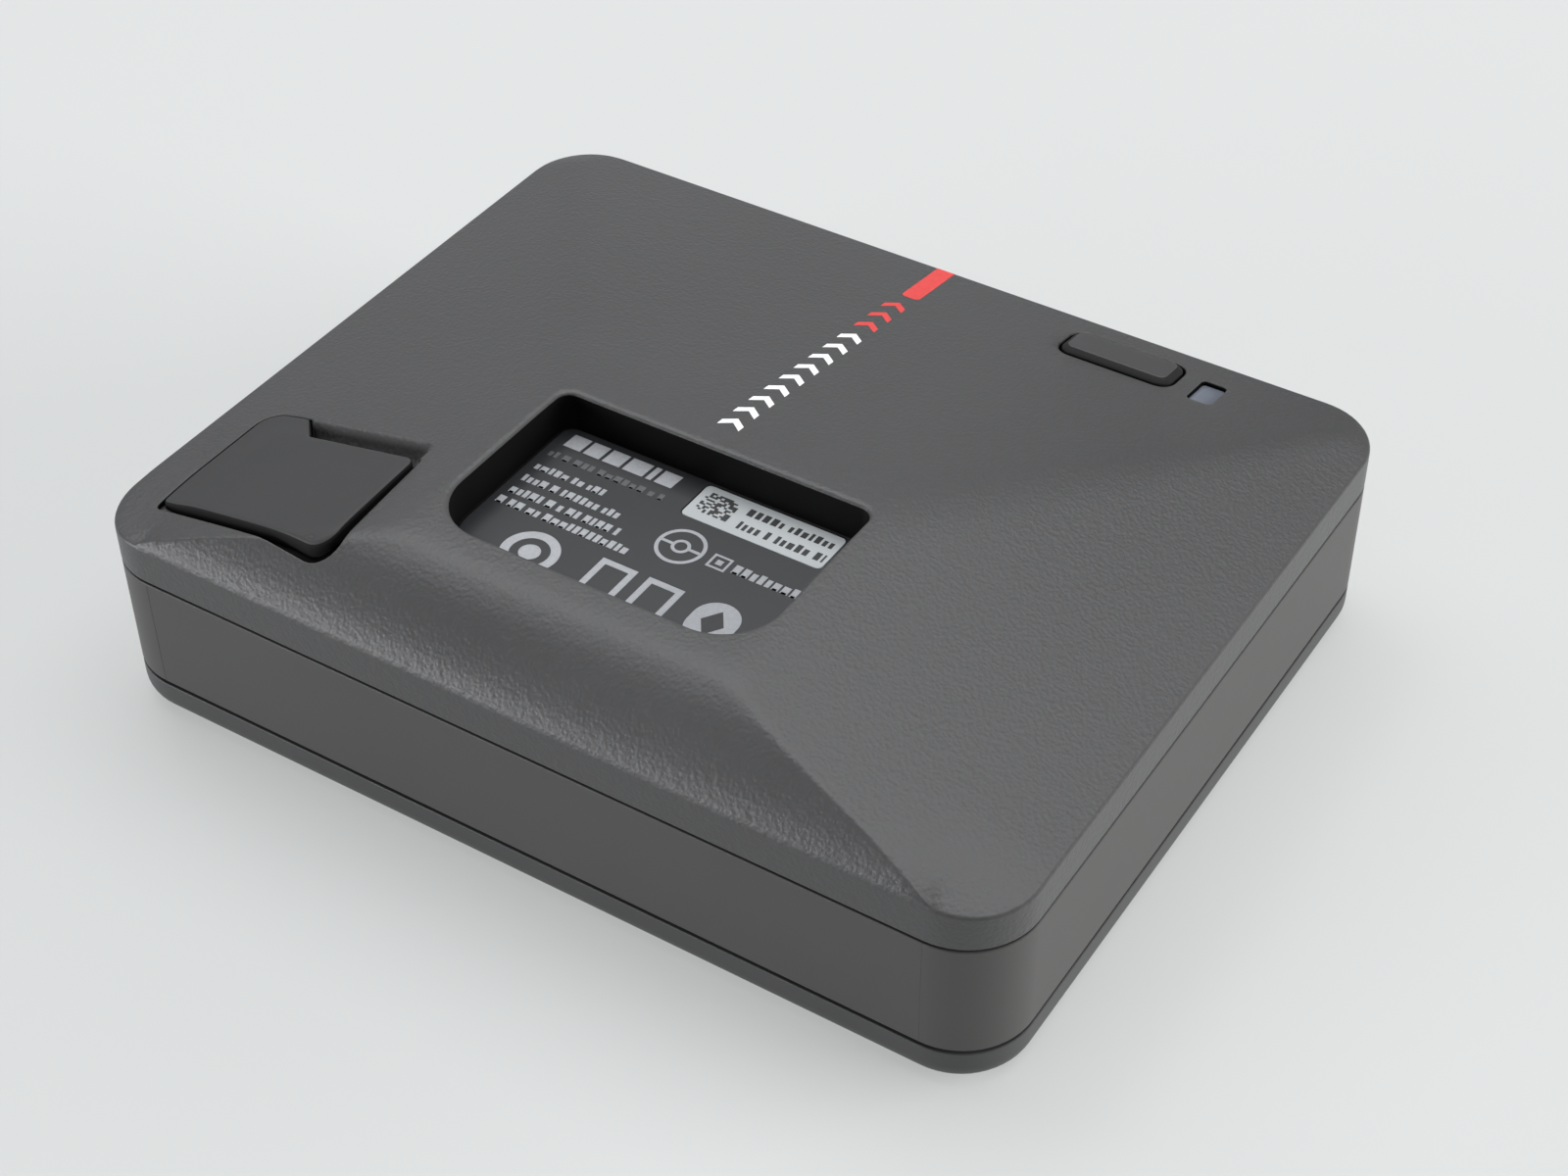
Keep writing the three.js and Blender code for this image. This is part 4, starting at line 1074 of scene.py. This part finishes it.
def label_print():
    rng = np.random.default_rng(11)
    z = LABEL_Z - 0.004
    faint, b = Build(), Build()
    # a heading of heavy slanted blocks
    x = -14.2
    for w in (1.75, 1.65, 1.75, 2.05, 0.55, 1.75):
        slab(b, [(x, -7.62), (x + w, -7.62), (x + w + 0.12, -5.85), (x + 0.12, -5.85)], z, z + INK)
        x += w + 0.34

    def words(q, x0, x1, y0, y1, gap=0.20, low=0.34, high=0.72):
        """A row of short bars of uneven width and height, like small print seen from afar."""
        x = x0
        while x < x1 - 0.25:
            w = float(rng.uniform(low, high))
            dy = float(rng.choice([0.0, 0.0, 0.18]))
            bar(q, x, min(x + w, x1), y0, y1 - dy, z, z + INK)
            if w > 0.55:
                bar(q, x + 0.1, x + w - 0.1, y0 - 0.0, y0 + 0.0001 + (y1 - y0) * 0.2, z, z + INK)
            x += w + (gap if rng.random() > 0.2 else gap * 2.4)

    words(faint, -14.6, -2.8, -9.40, -8.62)
    words(b, -14.5, -7.0, -11.50, -10.66)
    words(b, -14.5, -4.6, -13.35, -12.45)
    words(b, -14.5, -3.4, -15.15, -14.20)
    words(b, -14.7, -1.0, -16.75, -15.80)
    # round and square marks with no meaning
    ring_slab(b, 2.0, -13.45, 1.88, 2.22, z, z + INK, 0, 56)
    ring_slab(b, 2.0, -13.45, 0.55, 0.85, z, z + INK, 0, 32)
    bar(b, 0.15, 1.15, -13.60, -13.30, z, z + INK)
    bar(b, 2.85, 3.85, -13.60, -13.30, z, z + INK)
    for k in range(4):
        t0, t1 = (0.0, 0.22)
        x0, x1, y0, y1 = [(4.95, 6.75, -12.87, -12.65), (4.95, 6.75, -14.35, -14.13), (4.95, 5.17, -14.13, -12.87), (6.53, 6.75, -14.13, -12.87)][k]
        bar(b, x0, x1, y0, y1, z, z + INK)
    bar(b, 5.55, 6.15, -13.80, -13.20, z, z + INK)
    words(b, 7.25, 13.6, -14.05, -12.95, 0.22, 0.4, 0.75)
    slab(b, rounded(rect(7.35, 11.55, -22.6, -17.45), 2.08, 0, 10, 3.0), z, z + INK)
    ring_slab(b, -8.2, -20.6, 1.75, 2.60, z, z + INK, 0, 56)
    slab(b, circle(-8.2, -20.6, 0.95, 32), z, z + INK)
    for cx in (-0.85, 3.75):
        for q in ((cx - 1.75, cx + 1.75, -18.55, -17.95), (cx - 1.75, cx - 1.15, -22.3, -18.55), (cx + 1.15, cx + 1.75, -22.3, -18.55)):
            bar(b, *q, z, z + INK)
    o = b.object("label_print", [GREY])
    piece(o, "case", "label_film")
    o = faint.object("label_print_faint", [DIMINK])
    piece(o, "case", "label_film")
    # a dark mark on the disc
    b = Build()
    zz = z + INK - 0.002
    slab(b, [(9.45, -21.6), (10.55, -20.0), (9.45, -18.4), (8.35, -20.0)], zz, zz + 0.01)
    o = b.object("label_print_dark", [DARKINK])
    piece(o, "case", "label_film")
    # sticker: a patch of random cells and two rows of bars
    b = Build()
    zs = 21.38 - 0.004
    n = 12
    cx0, cy0, cw, ch = 0.10, -8.85, 3.25 / n, 2.7 / n
    for i in range(n):
        run = None
        for j in range(n + 1):
            on = j < n and rng.random() < 0.5
            if on and run is None:
                run = j
            if not on and run is not None:
                bar(b, cx0 + run * cw, cx0 + j * cw, cy0 + i * ch + 0.006, cy0 + (i + 1) * ch - 0.006, zs, zs + 0.014)
                run = None
    for y0, y1, x0, x1 in ((-7.20, -6.28, 4.3, 12.75), (-9.05, -8.05, 4.45, 12.9)):
        x = x0
        while x < x1:
            w = float(rng.uniform(0.28, 0.6))
            dy = float(rng.choice([0.0, 0.2]))
            bar(b, x, min(x + w, x1), y0, y1 - dy, zs, zs + 0.014)
            x += w + (0.24 if rng.random() > 0.2 else 0.6)
    o = b.object("sticker_print", [DARKINK])
    piece(o, "case", "paper_white")


label_print()


# ------------------------------------------------------------------------------------------------------------------
# print on the back: chevrons in place of the lettering, and the red stripe that runs over the rim
# ------------------------------------------------------------------------------------------------------------------
def draped(b, poly, h=0.018, lift=0.0, step=0.6, mat=0):
    """A thin layer of ink that follows the surface."""
    loop = []
    P = np.array(poly, float)
    for p, q in zip(P, np.roll(P, -1, 0)):
        n = max(1, int(np.linalg.norm(q - p) / step))
        loop += [p + (q - p) * k / n for k in range(n)]
    loop = np.array(loop)
    hi = b.ring(loop, base_z(loop[:, 0], loop[:, 1]) + h + lift)
    lo = b.ring(loop, base_z(loop[:, 0], loop[:, 1]) - 0.01)
    b.bridge(hi, lo, mat)
    inner = scatter(P[:, 0].min(), P[:, 0].max(), P[:, 1].min(), P[:, 1].max(), step)
    inner = inner[inside(loop, inner) & ~near_poly(loop, inner, 0.12)] if len(inner) else inner
    b.fill([hi], inner, lambda x, y: base_z(x, y) + h + lift, True, mat)
    b.fill([lo], None, None, False, mat)


def chevrons():
    xc, w, t, rise = -0.98, 1.08, 0.80, 0.85
    white, red = Build(), Build()
    ys = [(-0.95 + 2.42 * k, white) for k in range(9)] + [(21.3 + 2.42 * k, red) for k in range(3)]
    for y, b in ys:
        draped(b, [(xc - w, y), (xc - w + 0.0, y - t), (xc, y - t + rise), (xc + w, y - t), (xc + w, y), (xc, y + rise)][::1])
    for b, name, m in ((white, "chevrons_white", WHITE), (red, "chevrons_red", REDINK)):
        o = b.object(name, [m])
        piece(o, "case", "cover_plastic")


def stripe():
    b = Build()
    x0, x1, y0 = -1.72, 0.12, 28.4
    h = 0.02
    r_out = 0.26
    # the path over the rim: along the facet, round the lip, and down the wall to the joint
    path = [(y, None) for y in np.arange(y0 + 0.5, HY - r_out, 0.5)] + [(HY - r_out, None)]
    rows = []
    xs = [x0, x0 + 0.46, (x0 + x1) / 2, x1 - 0.46, x1]
    for y, _ in path:
        rows.append([(x, y, float(base_z(x, y)) + h) for x in xs])
    for a in np.linspace(math.pi / 2, 0, 6)[1:]:
        yy = HY - r_out + (r_out + h) * math.cos(a)
        rows.append([(x, yy, float(base_z(x, HY - r_out * (1 - math.cos(a)))) - r_out + (r_out + h) * math.sin(a)) for x in xs])
    for z in (18.0, 17.0, 16.2, COVER_Z + 0.15):
        rows.append([(x, HY + h, z) for x in xs])
    ids = [b.add(r) for r in rows]
    dn = [b.add([(x, y - (0.03 if z < 18.9 else 0.0) * 1.0, z - (0.03 if z >= 18.9 else 0.0)) for x, y, z in r]) for r in rows]
    for p, q in zip(ids, ids[1:]):
        for k in range(4):
            b.f.append((p[k], p[k + 1], q[k + 1], q[k]))
            b.m.append(0)
    for p, q in zip(dn, dn[1:]):
        for k in range(4):
            b.f.append((q[k], q[k + 1], p[k + 1], p[k]))
            b.m.append(0)
    for u, l in zip(zip(ids, ids[1:]), zip(dn, dn[1:])):
        (p, q), (s, t) = u, l
        b.f += [(p[0], q[0], t[0], s[0]), (q[4], p[4], s[4], t[4])]
        b.m += [0, 0]
    # rounded near end
    arc = []
    for cx, a0, a1 in ((x0 + 0.46, 180, 270), (x1 - 0.46, 270, 360)):
        for a in np.radians(np.linspace(a0, a1, 7)):
            arc.append((cx + 0.46 * math.cos(a), y0 + 0.5 + 0.46 * math.sin(a)))
    up = b.add([(x, y, float(base_z(x, y)) + h) for x, y in arc])
    lw = b.add([(x, y, float(base_z(x, y)) - 0.01) for x, y in arc])
    b.f.append(tuple([up[k] for k in range(len(up))] + [ids[0][4 - k] for k in range(0)]))
    b.m.append(0)
    for k in range(len(arc) - 1):
        b.f.append((up[k], lw[k], lw[k + 1], up[k + 1]))
        b.m.append(0)
    b.f += [tuple(lw[::-1]), tuple(dn[-1]) + tuple(ids[-1][::-1])]
    b.m += [0, 0]
    o = b.object("red_stripe", [REDINK], math.radians(60))
    piece(o, "case", "cover_plastic")


chevrons()
stripe()

# ------------------------------------------------------------------------------------------------------------------
# camera, light and floor
# ------------------------------------------------------------------------------------------------------------------
R = np.array([[0.8439353042, 0.5363798089, -0.0083607974],
              [0.3476329239, -0.5586999263, -0.7529978371],
              [-0.4085640128, 0.6325749702, -0.6579698735]])
cam_data = bpy.data.cameras.new("camera")
cam_data.sensor_fit = "HORIZONTAL"
cam_data.sensor_width = 36.0
cam_data.lens = 2814.646 / 1600 * 36.0
cam_data.clip_start, cam_data.clip_end = 0.01, 10.0
cam = bpy.data.objects.new("camera", cam_data)
scene.collection.objects.link(cam)
m = Matrix.Identity(4)
for i in range(3):
    m[i][0], m[i][1], m[i][2] = R[0][i], -R[1][i], -R[2][i]
m.translation = Vector((0.10326389, -0.15463637, 0.14926968 + 0.0191))
cam.matrix_world = m
scene.camera = cam

me = bpy.data.meshes.new("floor")
S = 1.6
me.from_pydata([(-S, -S, 0), (S, -S, 0), (S, S, 0), (-S, S, 0)], [], [(0, 1, 2, 3)])
floor = bpy.data.objects.new("floor", me)
floor.location.z = -0.00002
scene.collection.objects.link(floor)
fm = Mat("floor_v", (0.26, 0.265, 0.263), 0.62, spec=0.2)
fm.b.inputs["Emission Color"].default_value = (0.98, 1.0, 1.0, 1)
fm.b.inputs["Emission Strength"].default_value = 0.39
fm.tint(fm.noise(9, 2, 0.5), 0.012)
me.materials.append(fm.m)


def area(name, loc, target, size, power, color=(1, 1, 1)):
    d = bpy.data.lights.new(name, "AREA")
    d.shape = "RECTANGLE"
    d.size, d.size_y = size
    d.energy = power
    d.color = color
    o = bpy.data.objects.new(name, d)
    scene.collection.objects.link(o)
    o.location = loc
    o.visible_camera = False
    o.rotation_euler = (Vector(target) - Vector(loc)).to_track_quat("-Z", "Y").to_euler()
    return o


area("top", (0.0, 0.34, 0.95), (0, 0, 0), (1.1, 0.8), 7.9, (0.98, 0.99, 1.0))
area("top_left", (-0.60, 0.10, 0.80), (0, 0, 0), (0.7, 0.7), 3.8, (0.98, 0.99, 1.0))
area("top_right", (0.60, 0.10, 0.80), (0, 0, 0), (0.7, 0.7), 0.8, (0.98, 0.99, 1.0))
area("front_high", (0.10, -0.70, 0.90), (0, 0, 0), (0.8, 0.5), 1.6, (0.98, 0.99, 1.0))
soft = area("right_low", (0.95, 0.50, 0.21), (0, 0, 0.015), (1.0, 0.36), 24.0, (1.0, 0.995, 0.985))
soft.visible_glossy = False
area("back_left", (-0.70, 0.90, 0.25), (0, 0, 0.015), (0.8, 0.4), 0.85, (0.98, 0.985, 1.0))
area("front_left", (-0.75, -0.85, 0.16), (0, 0, 0.015), (0.9, 0.3), 9.7, (0.98, 0.985, 1.0))
w = bpy.data.worlds.new("world")
w.use_nodes = True
w.node_tree.nodes["Background"].inputs["Color"].default_value = (0.93, 0.96, 1.0, 1)
w.node_tree.nodes["Background"].inputs["Strength"].default_value = 0.06
scene.world = w
scene.view_settings.view_transform = "Standard"
scene.view_settings.look = "None"
scene.view_settings.exposure = 0.0
